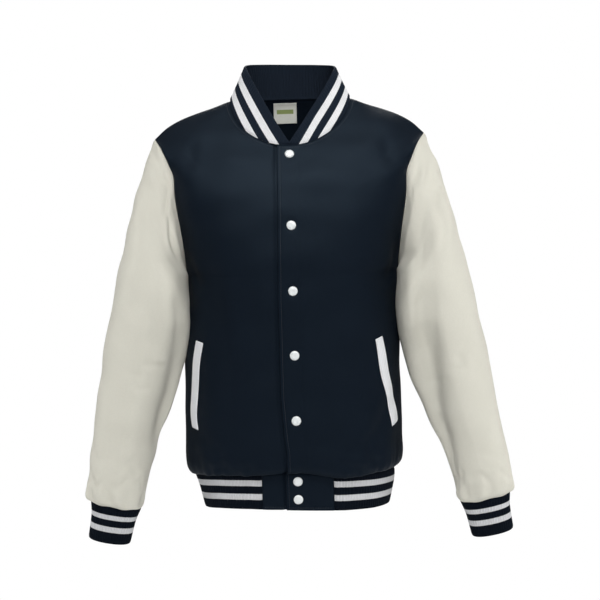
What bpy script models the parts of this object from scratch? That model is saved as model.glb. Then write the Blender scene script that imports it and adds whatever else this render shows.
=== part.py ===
# Varsity jacket, filled out as if worn: fleece body and set-in sleeves, rib-knit collar, hem and
# cuffs, two welt pockets and a front closed by seven snaps.
# Metres, +Z up, the front faces -Y and the wearer's left is +X. The origin lies midway between
# the points where the shoulder seams meet the collar.
#
# Each cloth piece is a grid of points on the garment's outer surface. The grids meet point to
# point along the seams, each border is drawn back by half the seam gap, and the wall's inner
# points lie one thickness inside, along normals that the pieces on both sides of a seam share.
# Rows go up and columns go anticlockwise seen from above, so that their normals point out.

import math

import bmesh
import bpy
import numpy as np
from mathutils import Vector
from mathutils.bvhtree import BVHTree

# driving sizes
FLEECE = 0.0020           # wall of the body, the sleeves and the hem tabs
RIB_WALL = 0.0032         # doubled rib knit of the collar, the hem and the cuffs
SEAM_GAP = 0.0003         # between two pieces that are sewn or laid together
LAP = 0.019               # each front runs this far past the line of snaps
LAP_DROP = FLEECE + SEAM_GAP   # the under front lies this far inside the top one
TAB = 0.058               # from the line of snaps to the end of the hem rib
RIB_PITCH = 0.0052        # from one rib to the next
RIB_RELIEF = 0.0007       # height of a rib over the valley beside it
WELT_WIDTH = 0.020
WELT_WALL = 0.0016
LEAN = 0.008              # sideways lean of the collar's top edge, towards the wearer's left
LEAN_FROM = -0.085        # height where the lean begins
LEAN_RISE = 0.135         # height over which it grows
FOLD_CALM = 0.03          # folds die away over this width beside the tab
FOLD_ENDS = 1.5           # and over this many stations at a sleeve's ends
SNAP_RADIUS = 0.0075
SNAP_HEIGHTS = (-0.101, -0.217, -0.321, -0.423, -0.526, -0.623, -0.652)
LABEL_WIDTH = 0.039
LABEL_DROP = 0.033
LABEL_WALL = 0.0006
LABEL_TOP = -0.0025
LABEL_MIDDLE = -0.006     # the label sits a little to the wearer's right

# Levels run up the body: -1 lower edge, 0 hem seam, 1 underarm, 2 shoulder point, 3 neck seam.
BODY_LEVELS = (0, 0.02, 0.05, 0.11, 0.23, 0.34, 0.45, 0.56, 0.67, 0.80, 0.92)
POCKET_LEVELS = (0.23, 0.67)
ARMHOLE_ROWS = 10
SHOULDER_ROWS = 5
BACK_COLUMNS = 20
TAB_COLUMN = 2            # column of a front where the hem rib begins
WELT_COLUMNS = (5, 7)     # first and last column of a front that a welt covers


def table(names, *rows):
    return {name: np.array([row[i] for row in rows], float) for i, name in enumerate(names.split())}


CENTRE = {
    "front": table(
        "level   y       z",
        (0.00, -0.1240, -0.610),
        (0.02, -0.1305, -0.604),
        (0.05, -0.1350, -0.594),
        (0.11, -0.1370, -0.575),
        (0.25, -0.1375, -0.532),
        (0.50, -0.1365, -0.454),
        (0.75, -0.1375, -0.375),
        (1.00, -0.1380, -0.297),
        (1.35, -0.1355, -0.247),
        (1.70, -0.1275, -0.195),
        (2.00, -0.1150, -0.150),
        (2.50, -0.0975, -0.116),
        (3.00, -0.0790, -0.085)),
    "back": table(
        "level  y      z",
        (0.00, 0.1080, -0.612),
        (0.02, 0.1150, -0.606),
        (0.05, 0.1195, -0.596),
        (0.11, 0.1210, -0.577),
        (0.25, 0.1190, -0.533),
        (0.50, 0.1155, -0.454),
        (0.75, 0.1180, -0.375),
        (1.00, 0.1220, -0.296),
        (1.35, 0.1260, -0.236),
        (1.70, 0.1250, -0.172),
        (2.00, 0.1170, -0.116),
        (2.50, 0.0950, -0.055),
        (3.00, 0.0680, 0.003)),
}

# How a row turns from the centre line to the panel's edge: the angle it has turned through at
# the edge, its squareness (2 is an ellipse), and how softly its climb ends there.
TURN = {
    "front": table(
        "level  sweep  square  soft",
        (0.0, 90, 2.35, 0.3),
        (1.0, 90, 2.40, 0.3),
        (1.3, 76, 2.40, 0.3),
        (1.7, 66, 2.30, 0.3),
        (2.0, 64, 2.15, 0.3),
        (2.4, 86, 2.10, 0.3),
        (3.0, 90, 2.00, 0.12)),
    "back": table(
        "level  sweep  square  soft",
        (0.0, 90, 2.35, 0.3),
        (1.0, 90, 2.40, 0.3),
        (1.3, 78, 2.40, 0.3),
        (1.7, 70, 2.30, 0.3),
        (2.0, 68, 2.15, 0.3),
        (2.4, 86, 2.10, 0.3),
        (3.0, 90, 2.00, 0.3)),
}

SIDE_SEAM = table(
    "level  x       y     z",
    (0.00, 0.1625, 0.0, -0.6120),
    (0.02, 0.1700, 0.0, -0.6056),
    (0.05, 0.1765, 0.0, -0.5960),
    (0.11, 0.1790, 0.0, -0.5766),
    (0.25, 0.1785, 0.0, -0.5315),
    (0.50, 0.1765, 0.0, -0.4510),
    (0.60, 0.1770, 0.0, -0.4188),
    (0.70, 0.1775, 0.0, -0.3866),
    (0.85, 0.1742, 0.0, -0.3383),
    (1.00, 0.1730, 0.0, -0.2900))

ARMHOLE = {
    "front": table(
        "level  x       y        z",
        (1.0, 0.1730, 0.0000, -0.2900),
        (1.1, 0.1728, -0.0250, -0.2835),
        (1.2, 0.1742, -0.0425, -0.2645),
        (1.3, 0.1770, -0.0525, -0.2400),
        (1.4, 0.1805, -0.0580, -0.2140),
        (1.5, 0.1850, -0.0605, -0.1875),
        (1.6, 0.1882, -0.0600, -0.1610),
        (1.7, 0.1895, -0.0565, -0.1340),
        (1.8, 0.1985, -0.0490, -0.1090),
        (1.9, 0.2115, -0.0320, -0.0810),
        (2.0, 0.2230, 0.0000, -0.0640)),
    "back": table(
        "level  x       y       z",
        (1.0, 0.1730, 0.0000, -0.2900),
        (1.1, 0.1735, 0.0250, -0.2835),
        (1.2, 0.1752, 0.0425, -0.2640),
        (1.3, 0.1785, 0.0530, -0.2390),
        (1.4, 0.1830, 0.0590, -0.2125),
        (1.5, 0.1885, 0.0615, -0.1860),
        (1.6, 0.1940, 0.0605, -0.1600),
        (1.7, 0.1995, 0.0570, -0.1340),
        (1.8, 0.2055, 0.0490, -0.1085),
        (1.9, 0.2135, 0.0320, -0.0800),
        (2.0, 0.2230, 0.0000, -0.0640)),
}

SHOULDER_SEAM = table(
    "level  x       y     z",
    (2.0, 0.2230, 0.0, -0.0640),
    (2.2, 0.2035, 0.0, -0.0465),
    (2.4, 0.1800, 0.0, -0.0335),
    (2.6, 0.1540, 0.0, -0.0235),
    (2.8, 0.1250, 0.0, -0.0140),
    (3.0, 0.1000, 0.0, -0.0040))

# Lower edge of the hem rib: its half width, its y in front and behind, and its height.
HEM_EDGE = {"side": 0.1490, "front": -0.1150, "back": 0.1010, "z": -0.670}

# Each welt's distance from the snap line round its front, as a share of the front's whole row.
WELTS = {
    "left": {"lower": 0.715, "upper": 0.575},
    "right": {"lower": 0.760, "upper": 0.680},
}

# Sleeve sections down the arm: the outer and the inner point, half the depth, the middle's y and
# the squareness. Station 0 is the armhole and 24 the cuff seam.
SLEEVE = table(
    "station  outer_x  outer_z  inner_x  inner_z  depth  middle  square",
    (0.0, 0.2230, -0.0640, 0.1730, -0.2900, 0.0600, 0.0000, 2.0),
    (1.0, 0.2345, -0.0880, 0.1775, -0.2965, 0.0665, 0.0000, 2.0),
    (2.0, 0.2440, -0.1130, 0.1797, -0.3060, 0.0725, 0.0000, 2.1),
    (3.0, 0.2517, -0.1390, 0.1793, -0.3170, 0.0770, -0.0030, 2.1),
    (4.0, 0.2592, -0.1660, 0.1784, -0.3280, 0.0800, -0.0140, 2.2),
    (6.0, 0.2715, -0.2210, 0.1764, -0.3480, 0.0815, -0.0350, 2.2),
    (8.0, 0.2832, -0.2770, 0.1758, -0.3690, 0.0790, -0.0425, 2.2),
    (10.0, 0.2937, -0.3280, 0.1756, -0.3930, 0.0735, -0.0430, 2.2),
    (12.0, 0.3034, -0.3760, 0.1778, -0.4190, 0.0670, -0.0430, 2.2),
    (14.0, 0.3120, -0.4230, 0.1840, -0.4500, 0.0615, -0.0420, 2.2),
    (16.0, 0.3202, -0.4700, 0.1948, -0.4860, 0.0565, -0.0410, 2.2),
    (18.0, 0.3277, -0.5175, 0.2105, -0.5265, 0.0520, -0.0400, 2.2),
    (20.0, 0.3352, -0.5652, 0.2280, -0.5692, 0.0475, -0.0395, 2.2),
    (22.0, 0.3426, -0.6117, 0.2443, -0.6167, 0.0430, -0.0390, 2.2),
    (23.0, 0.3468, -0.6342, 0.2520, -0.6440, 0.0415, -0.0390, 2.2),
    (23.6, 0.3475, -0.6478, 0.2552, -0.6618, 0.0400, -0.0390, 2.2),
    (24.0, 0.3402, -0.6567, 0.2600, -0.6720, 0.0340, -0.0390, 2.2))

SLEEVE_STATIONS = (0, 0.5, 1.2, 2, 3, 4.2, 5.6, 7, 8.5, 10, 11.5, 12.8, 14, 15.2, 16.5, 18, 19.4,
                   20.6, 21.5, 22.2, 22.8, 23.3, 23.7, 24)
CAP_END = 9.0             # station where the armhole's curve has faded into plain sections
STATION_STEP = 0.026      # mean length of sleeve from one station to the next
ARM_RADIUS = 0.065        # turns the sleeve's angles into distances for its folds

# Cuff sections below the cuff seam; the cuff points away from the body, and a little forward.
CUFF = table(
    "drop  width   depth",
    (0.003, 0.0388, 0.0325),
    (0.022, 0.0368, 0.0300),
    (0.062, 0.0330, 0.0262))
CUFF_LEAN = 12.4          # degrees
CUFF_FORWARD = 0.05       # forward run for each metre of drop

# Top edge of the collar on the wearer's left, from the front tip to the centre back.
COLLAR_TOP = table(
    "share  x       y        z",
    (0.000, 0.0000, -0.0795, -0.0810),
    (0.192, 0.0289, -0.0660, -0.0350),
    (0.384, 0.0558, -0.0470, 0.0105),
    (0.503, 0.0697, -0.0290, 0.0370),
    (0.595, 0.0745, -0.0060, 0.0500),
    (0.694, 0.0700, 0.0220, 0.0555),
    (0.794, 0.0550, 0.0470, 0.0590),
    (0.896, 0.0300, 0.0630, 0.0610),
    (1.000, 0.0000, 0.0680, 0.0615))
COLLAR_ROWS = (0.0, 0.06, 0.5, 1.0)
HEM_ROWS = (0.0, 0.95, 1.0)

# Main folds of the sleeves. Turns are degrees round the arm from its outer line to the front.
SLEEVE_FOLDS = table(
    "left right station0 turn0 station1 turn1 half_width height",
    (1, 1, 0.8, 45, 6.0, 95, 0.020, -0.0040),
    (1, 1, 3.0, 20, 9.0, 60, 0.024, 0.0030),
    (1, 0, 7.0, 120, 19.0, 100, 0.020, -0.0045),
    (0, 1, 6.0, 135, 12.0, 125, 0.018, -0.0030),
    (1, 1, 12.5, 110, 14.0, 190, 0.018, -0.0035),
    (1, 1, 12.8, 215, 14.2, 290, 0.018, -0.0035),
    (1, 1, 15.4, 205, 16.6, 285, 0.018, -0.0030),
    (1, 1, 21.4, 20, 21.8, 150, 0.012, -0.0030),
    (1, 1, 20.2, 200, 21.6, 320, 0.014, -0.0030),
    (1, 1, 1.5, 300, 7.0, 255, 0.022, -0.0035))

# Main folds of the body, between places given by the distance round from the centre line,
# positive on the wearer's left, and by the height.
BODY_FOLDS = {
    "front": table(
        "round0 z0 round1 z1 half_width height",
        (0.185, -0.215, 0.190, -0.360, 0.018, -0.0025),
        (-0.150, -0.290, -0.110, -0.470, 0.026, -0.0025),
        (0.160, -0.060, 0.178, -0.120, 0.014, -0.0025),
        (-0.160, -0.060, -0.178, -0.120, 0.014, -0.0025)),
    "back": table(
        "round0 z0 round1 z1 half_width height",
        (0.120, -0.160, 0.060, -0.330, 0.030, -0.0030),
        (-0.125, -0.150, -0.070, -0.300, 0.030, -0.0030),
        (0.040, -0.480, 0.050, -0.590, 0.020, 0.0025),
        (-0.090, -0.500, -0.095, -0.590, 0.020, 0.0025)),
}

SNAP_PROFILE = table(
    "radius  height",
    (0.00, 0.0030),
    (0.55, 0.0027),
    (0.90, 0.0016),
    (1.00, 0.0005),
    (0.97, 0.0000),
    (0.00, 0.0000))
SNAP_STEPS = 14

# Finishes: linear colour and roughness.
FINISHES = {
    "navy_fleece": ((0.014, 0.022, 0.036), 0.95),
    "cream_fleece": ((0.58, 0.56, 0.48), 0.95),
    "navy_rib": ((0.010, 0.016, 0.028), 0.95),
    "white_rib": ((0.78, 0.78, 0.78), 0.90),
    "white_snap": ((0.80, 0.82, 0.82), 0.35),
    "label_satin": ((0.48, 0.48, 0.42), 0.60),
}


def row_slope(rise, step, k):
    """Slope of a table's curve at row k, flat where the values turn back, so nothing overshoots."""
    if k == 0:
        return rise[0]
    if k == len(rise):
        return rise[-1]
    if rise[k - 1] * rise[k] <= 0:
        return 0.0
    before = 2 * step[k] + step[k - 1]
    after = step[k] + 2 * step[k - 1]
    return (before + after) / (before / rise[k - 1] + after / rise[k])


def look_up(rows, at):
    """A table's other columns where its first one has this value, on smooth curves."""
    first, *others = rows.values()
    i = int(np.clip(np.searchsorted(first, at, side="right") - 1, 0, len(first) - 2))
    step = np.diff(first)
    t = (at - first[i]) / step[i]
    values = []
    for column in others:
        rise = np.diff(column) / step
        start, end = column[i], column[i + 1]
        out, back = row_slope(rise, step, i) * step[i], row_slope(rise, step, i + 1) * step[i]
        values.append(start + t * out + t * t * (3 * (end - start) - 2 * out - back)
                      + t ** 3 * (out + back - 2 * (end - start)))
    return np.array(values)


def ease(t):
    t = np.clip(t, 0.0, 1.0)
    return t * t * (3 - 2 * t)


def power(value, exponent):
    return np.sign(value) * np.abs(value) ** exponent


def unit(vectors):
    return vectors / np.maximum(np.linalg.norm(vectors, axis=-1, keepdims=True), 1e-12)


def run_lengths(points):
    return np.concatenate(([0.0], np.cumsum(np.linalg.norm(np.diff(points, axis=0), axis=1))))


def along(points, distances):
    """Points at signed distances along a line from the centre; the minus side is its mirror."""
    run = run_lengths(points)
    found = np.stack([np.interp(np.abs(distances), run, points[:, i]) for i in range(3)], axis=1)
    found[distances < 0, 0] *= -1
    return found


def mirror(points):
    """The other side of a grid, with its columns reversed so that its normals still point out."""
    return (points * np.array([-1.0, 1.0, 1.0]))[:, ::-1]


def lean(points):
    """The neck leans to the wearer's left, more the higher a point is."""
    moved = points.copy()
    moved[..., 0] += LEAN * ease((points[..., 2] - LEAN_FROM) / LEAN_RISE)
    return moved


def grid_normals(points, wrap=False):
    if wrap:
        across = np.roll(points, -1, axis=1) - np.roll(points, 1, axis=1)
    else:
        across = np.gradient(points, axis=1)
    return unit(np.cross(across, np.gradient(points, axis=0)))


def fold_heights(first, second, folds):
    """Height of all folds together, at places given by two coordinates in metres."""
    height = np.zeros_like(first)
    for a0, b0, a1, b1, half_width, amount in folds:
        run = math.hypot(a1 - a0, b1 - b0)
        t = ((first - a0) * (a1 - a0) + (second - b0) * (b1 - b0)) / run ** 2
        off = ((first - a0) * (b1 - b0) - (second - b0) * (a1 - a0)) / run
        ends = ease((t + 0.25) / 0.5) * ease((1.25 - t) / 0.5)
        height += amount * np.exp(-(off / half_width) ** 2) * ends
    return height


def levels():
    """Levels of all rows of the body, with the lower edge of the hem first."""
    armhole = [1 + i / ARMHOLE_ROWS for i in range(ARMHOLE_ROWS)]
    shoulder = [2 + i / SHOULDER_ROWS for i in range(SHOULDER_ROWS + 1)]
    return [-1] + list(BODY_LEVELS) + armhole + shoulder


def panel_edge(level, face):
    """Point on the side seam, the armhole or the shoulder seam of the wearer's left."""
    if level <= 1:
        return look_up(SIDE_SEAM, level)
    if level <= 2:
        return look_up(ARMHOLE[face], level)
    return look_up(SHOULDER_SEAM, level)


def half_row(level, face, samples=90):
    """Row of a panel from the centre line to its edge on the wearer's left."""
    if level < 0:
        centre_y, centre_z = HEM_EDGE[face], HEM_EDGE["z"]
        edge = np.array([HEM_EDGE["side"], 0.0, HEM_EDGE["z"]])
    else:
        centre_y, centre_z = look_up(CENTRE[face], level)
        edge = panel_edge(level, face)
    sweep, square, soft = look_up(TURN[face], max(level, 0))
    angle = np.linspace(0.0, math.radians(sweep), samples)
    cosine = np.clip(np.cos(angle), 0.0, 1.0)
    round_x = np.sin(angle) ** (2 / square)
    round_y = 1 - cosine ** (2 / square)
    left = (cosine - cosine[-1]) / (1 - cosine[-1])
    climb = 1 - (np.sqrt(left ** 2 + soft ** 2) - soft) / (math.hypot(1, soft) - soft)
    return np.stack([edge[0] * round_x / round_x[-1],
                     centre_y + (edge[1] - centre_y) * round_y / round_y[-1],
                     centre_z + (edge[2] - centre_z) * climb], axis=1)


def front_columns(level, length, side):
    """Distances round a front from the snap line: the lap, the tab, the welt and the edge."""
    upper, lower = WELTS[side]["upper"], WELTS[side]["lower"]
    middle = length * np.interp(level, POCKET_LEVELS, (lower, upper))
    before = np.linspace(TAB, middle - WELT_WIDTH / 2, 4)
    after = np.linspace(middle + WELT_WIDTH / 2, length, 4)
    spread = ease((level - POCKET_LEVELS[1]) / (3 - POCKET_LEVELS[1]))
    columns = np.concatenate(([LAP], before, [middle], after))
    columns += (np.linspace(LAP, length, len(columns)) - columns) * spread
    return np.concatenate(([-LAP], columns))


def front_grid(side):
    """A front with its share of the hem, from the hem's lower edge to the neck seam."""
    rows, distances = [], []
    for level in levels():
        curve = half_row(level, "front")
        columns = front_columns(level, run_lengths(curve)[-1], side)
        rows.append(along(curve, columns))
        distances.append(columns)
    points, distances = np.array(rows), np.array(distances)
    drop = np.where(distances <= LAP, LAP_DROP, 0.0)
    if side == "right":
        points, distances, drop = mirror(points), -distances[:, ::-1], drop[:, ::-1]
    points = lean(points)
    heights = fold_heights(distances, points[..., 2], zip(*BODY_FOLDS["front"].values()))
    heights *= ease((np.abs(distances) - TAB) / FOLD_CALM)
    heights[:, -1 if side == "left" else 0] = 0
    heights[:2] = 0
    points += grid_normals(points) * heights[..., None]
    if side == "right":
        points -= grid_normals(points) * drop[..., None]
    return points


def back_grid():
    """The back with its share of the hem, from the wearer's left to the right."""
    rows, distances = [], []
    for level in levels():
        curve = half_row(level, "back")
        length = run_lengths(curve)[-1]
        columns = np.linspace(length, -length, BACK_COLUMNS + 1)
        rows.append(along(curve, columns))
        distances.append(columns)
    points, distances = lean(np.array(rows)), np.array(distances)
    heights = fold_heights(distances, points[..., 2], zip(*BODY_FOLDS["back"].values()))
    heights[:, (0, -1)] = 0
    heights[:2] = 0
    return points + grid_normals(points) * heights[..., None]


def sleeve_ring(station, turns):
    """Plain section of a sleeve, at turns from its outer point round the front."""
    outer_x, outer_z, inner_x, inner_z, depth, middle, square = look_up(SLEEVE, station)
    reach = power(np.cos(turns), 2 / square)
    return np.stack([(outer_x + inner_x) / 2 + (outer_x - inner_x) / 2 * reach,
                     middle - depth * power(np.sin(turns), 2 / square),
                     (outer_z + inner_z) / 2 + (outer_z - inner_z) / 2 * reach], axis=1)


def armhole_loop():
    """The armhole, from the shoulder point down the front and up the back."""
    steps = range(ARMHOLE_ROWS)
    down = [panel_edge(2 - i / ARMHOLE_ROWS, "front") for i in steps]
    up = [panel_edge(1 + i / ARMHOLE_ROWS, "back") for i in steps]
    return np.array(down + up)


def armhole_turns(loop):
    """The turns round the plain first section that lie level with the armhole's points."""
    outer, inner = sleeve_ring(0, np.array([0.0, math.pi]))
    half, middle = (outer - inner) / 2, (outer + inner) / 2
    turns = np.arccos(np.clip((loop - middle) @ half / (half @ half), -1, 1))
    turns[ARMHOLE_ROWS + 1:] = 2 * math.pi - turns[ARMHOLE_ROWS + 1:]
    return turns


def sleeve_grid(side):
    """A sleeve from the armhole to the cuff seam, with its columns round the arm."""
    loop = armhole_loop()
    level_turns = armhole_turns(loop)
    even_turns = np.arange(len(loop)) * 2 * math.pi / len(loop)
    scoop = loop - sleeve_ring(0, level_turns)
    rows, turns = [], []
    for station in SLEEVE_STATIONS:
        fade = ease(station / CAP_END)
        turns.append(level_turns + (even_turns - level_turns) * fade)
        rows.append(sleeve_ring(station, turns[-1]) + scoop * (1 - fade))
    points = np.array(rows)
    stations = np.array(SLEEVE_STATIONS)[:, None]
    folds = [(math.radians(turn0) * ARM_RADIUS, s0 * STATION_STEP,
              math.radians(turn1) * ARM_RADIUS, s1 * STATION_STEP, width, height)
             for left, right, s0, turn0, s1, turn1, width, height in zip(*SLEEVE_FOLDS.values())
             if (left if side == "left" else right)]
    places = np.array(turns) * ARM_RADIUS
    heights = fold_heights(places, stations * STATION_STEP + 0 * places, folds)
    heights *= ease(np.minimum(stations, SLEEVE["station"][-1] - stations) / FOLD_ENDS)
    points += grid_normals(points, wrap=True) * heights[..., None]
    return lean(mirror(points) if side == "right" else points)


def cuff_grid(seam, side):
    """A cuff from the cuff seam down, below a sleeve's last ring."""
    outwards = 1 if side == "left" else -1
    angle = math.radians(CUFF_LEAN)
    down = np.array([outwards * math.sin(angle), -CUFF_FORWARD, -math.cos(angle)])
    middle = (seam.max(axis=0) + seam.min(axis=0)) / 2
    across, ahead = seam - middle, seam - middle
    across = across * np.array([1, 0, 1])
    ahead = ahead * np.array([0, 1, 0])
    width = np.linalg.norm(across, axis=1).max()
    depth = np.abs(ahead).max()
    rows = [seam]
    for drop, half_width, half_depth in zip(*CUFF.values()):
        rows.append(middle + down * drop + across * half_width / width + ahead * half_depth / depth)
    return np.array(rows)


def collar_grid(neck):
    """The collar from the neck seam to its top edge, from the left front end to the right one."""
    share = run_lengths(neck) / run_lengths(neck)[-1] * 2
    top = np.array([look_up(COLLAR_TOP, min(s, 2 - s)) for s in share])
    top[share > 1, 0] *= -1
    top = lean(top)
    return np.array([neck + (top - neck) * t for t in COLLAR_ROWS])


def ring_of(left, back, right, row):
    """One row right round the body, from the left front to the right one."""
    return np.concatenate((left[row], back[row, 1:], right[row, 1:]))


def cloth_pieces():
    """The grid of every cloth piece whose borders are sewn to others."""
    left, right, back = front_grid("left"), front_grid("right"), back_grid()
    band = [ring_of(left, back, right, row) for row in (0, 1)]
    hem = np.array([band[0] + (band[1] - band[0]) * t for t in HEM_ROWS])
    neck = ring_of(left, back, right, -1)
    snap_line = (left[-1, 0] + left[-1, 1]) / 2
    neck[-2] = mirror(left[-1:, 1:2])[0, 0]
    neck = np.concatenate(([snap_line], neck[1:-1], [snap_line]))
    pieces = {
        "front_left": new_piece(left[1:]),
        "front_right": new_piece(right[1:]),
        "back": new_piece(back[1:]),
        "hem_rib": new_piece(hem[:, TAB_COLUMN:-TAB_COLUMN], rib_seams=[-1]),
        "hem_tab_left": new_piece(hem[:, :TAB_COLUMN + 1]),
        "hem_tab_right": new_piece(hem[:, -TAB_COLUMN - 1:]),
        "collar_rib": new_piece(collar_grid(neck), rib_seams=[0]),
    }
    pieces["collar_rib"]["normals"][:, (0, -1), 0] = 0
    for side in ("left", "right"):
        sleeve = sleeve_grid(side)
        pieces["sleeve_" + side] = new_piece(sleeve, wrap=True)
        pieces["cuff_" + side] = new_piece(cuff_grid(sleeve[-1], side), wrap=True, rib_seams=[0])
    return pieces


def new_piece(points, wrap=False, rib_seams=None):
    return {"points": points, "normals": grid_normals(points, wrap), "wrap": wrap, "rib_seams": rib_seams}


def borders(piece):
    """The border lines of a grid, as lists of (row, column)."""
    rows, columns = piece["points"].shape[:2]
    lines = [[(r, c) for c in range(columns)] for r in (0, rows - 1)]
    if not piece["wrap"]:
        lines += [[(r, c) for r in range(rows)] for c in (0, columns - 1)]
    return lines


def border_runs(piece):
    """Ends and end normals of every border edge."""
    runs = []
    for line in borders(piece):
        after = line[1:] + line[:1] if piece["wrap"] else line[1:]
        for a, b in zip(line, after):
            runs.append((piece["points"][a], piece["points"][b], piece["normals"][a], piece["normals"][b]))
    return [np.array(values) for values in zip(*runs)]


def nearest_normal(point, runs, reach):
    """Normal at the nearest place of some border edges, or nothing beyond the reach."""
    start, end, first, last = runs
    run = end - start
    t = np.clip(((point - start) * run).sum(axis=1) / (run * run).sum(axis=1), 0, 1)
    away = np.linalg.norm(point - start - run * t[:, None], axis=1)
    i = int(away.argmin())
    return unit(first[i] + (last[i] - first[i]) * t[i]) if away[i] < reach else np.zeros(3)


def share_normals(pieces, reach=0.003):
    """Turn each border's normals to the mean of those of all pieces that meet there."""
    runs = {name: border_runs(piece) for name, piece in pieces.items()}
    for name, piece in pieces.items():
        piece["shared"] = piece["normals"].copy()
        for place in {place for line in borders(piece) for place in line}:
            point = piece["points"][place]
            met = [nearest_normal(point, runs[other], reach) for other in pieces if other != name]
            piece["shared"][place] = unit(piece["normals"][place] + sum(met))


def draw_back(piece):
    """Move a grid's borders back from their seams, within its own surface."""
    points = piece["points"]
    rows, columns = points.shape[:2]
    moved = points.copy()
    for line in borders(piece):
        row_line = line[0][0] == line[-1][0]
        for i, place in enumerate(line):
            if piece["wrap"]:
                before, after = line[i - 1], line[(i + 1) % len(line)]
            else:
                before, after = line[max(i - 1, 0)], line[min(i + 1, len(line) - 1)]
            row, column = place
            inner = (min(max(row, 1), rows - 2), column) if row_line else (row, min(max(column, 1), columns - 2))
            pull = unit(np.cross(piece["normals"][place], points[after] - points[before]))
            towards = np.sign(pull @ (points[inner] - points[place]))
            moved[place] = moved[place] + pull * towards * SEAM_GAP / 2
    piece["points"] = moved


def ribs(piece):
    """Both grids of a rib-knit wall, ribs running up its outer one, and where inner columns lie."""
    points, normals = piece["points"], piece["shared"]
    rows, columns = points.shape[:2]
    middle = points[rows // 2]
    relief = np.full(rows, RIB_RELIEF)
    relief[piece["rib_seams"]] = 0
    outer, inner, starts = [], [], []
    for c in range(columns if piece["wrap"] else columns - 1):
        after = (c + 1) % columns
        parts = max(1, round(np.linalg.norm(middle[after] - middle[c]) / (RIB_PITCH / 2)))
        if piece["wrap"] and after == 0:
            parts += (len(outer) + parts) % 2
        for i in range(parts):
            line = points[:, c] + (points[:, after] - points[:, c]) * i / parts
            normal = unit(normals[:, c] + (normals[:, after] - normals[:, c]) * i / parts)
            if i in (0, parts // 2):
                starts.append(len(outer))
                inner.append(line - normal * RIB_WALL)
            up = relief if len(outer) % 2 else 0 * relief
            outer.append(line + normal * up[:, None])
    if not piece["wrap"]:
        starts.append(len(outer))
        inner.append(points[:, -1] - normals[:, -1] * RIB_WALL)
        outer.append(points[:, -1])
    return np.stack(outer, axis=1), np.stack(inner, axis=1), starts


def close_rim(mesh, line, first, last):
    """Faces between a run of outer points and the two inner points beside its ends."""
    if line[0].co.z > line[-1].co.z:
        line, first, last = line[::-1], last, first
    middle = len(line) // 2
    for i in range(len(line) - 1):
        mesh.faces.new((line[i], line[i + 1], first if i < middle else last))
    mesh.faces.new((line[middle], first, last))


def wall(outer, inner, wrap=False, starts=None):
    """Closed wall between an outer grid and an inner one, whose columns are some of the outer's."""
    mesh = bmesh.new()
    out = [[mesh.verts.new(point) for point in row] for row in outer]
    into = [[mesh.verts.new(point) for point in row] for row in inner]
    starts = starts or list(range(len(into[0])))

    def quad(a, b, c, d):
        mesh.faces.new((a, b, c))
        mesh.faces.new((a, c, d))

    for grid in (out, into):
        for lower, upper in zip(grid, grid[1:]):
            for c in range(len(lower) if wrap else len(lower) - 1):
                after = (c + 1) % len(lower)
                quad(lower[c], lower[after], upper[after], upper[c])
    if not wrap:
        for r in range(len(out) - 1):
            for c in (0, -1):
                close_rim(mesh, [out[r][c], out[r + 1][c]], into[r][c], into[r + 1][c])
    for r in (0, -1):
        for c in range(len(starts) if wrap else len(starts) - 1):
            after = (c + 1) % len(starts)
            end = starts[after] or len(out[r])
            line = [out[r][i % len(out[r])] for i in range(starts[c], end + 1)]
            close_rim(mesh, line, into[r][c], into[r][after])
    bmesh.ops.recalc_face_normals(mesh, faces=mesh.faces)
    return mesh


def piece_wall(piece):
    """Wall of one cloth piece, ribbed where it is rib knit."""
    if piece["rib_seams"] is None:
        return wall(piece["points"], piece["points"] - piece["shared"] * FLEECE, piece["wrap"])
    outer, inner, starts = ribs(piece)
    return wall(outer, inner, piece["wrap"], starts)


def welt_wall(front, side):
    """Welt made from the points of the front that it lies on, moved out."""
    heights = list(BODY_LEVELS)
    rows = slice(heights.index(POCKET_LEVELS[0]), heights.index(POCKET_LEVELS[1]) + 1)
    first, last = WELT_COLUMNS
    columns = slice(first, last + 1) if side == "left" else slice(-last - 1, -first)
    points, normals = front["points"][rows, columns], front["shared"][rows, columns]
    return wall(points + normals * (SEAM_GAP + WELT_WALL), points + normals * SEAM_GAP)


def surface_of(made):
    """Search tree of an object's faces."""
    data = made.data
    return BVHTree.FromPolygons([v.co for v in data.vertices], [tuple(p.vertices) for p in data.polygons])


def label_wall(back):
    """Label on the back's inner side, hanging from the neck seam."""
    surface = surface_of(back)
    rows = []
    for height in np.linspace(LABEL_TOP - LABEL_DROP, LABEL_TOP, 4):
        row = []
        for x in LABEL_MIDDLE + np.linspace(0.5, -0.5, 4) * LABEL_WIDTH:
            hit = surface.ray_cast(Vector((x, 0.0, height)), Vector((0, 1, 0)))[0]
            row.append(np.array(hit) - np.array([0, 2 * SEAM_GAP, 0]))
        rows.append(row)
    outer = np.array(rows)
    return wall(outer, outer - np.array([0, LABEL_WALL, 0]))


def add_object(name, mesh, finish, collection):
    data = bpy.data.meshes.new(name)
    mesh.to_mesh(data)
    mesh.free()
    data.shade_smooth()
    data.set_sharp_from_angle(angle=math.radians(50))
    data.materials.append(finish)
    made = bpy.data.objects.new(name, data)
    collection.objects.link(made)
    return made


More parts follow.
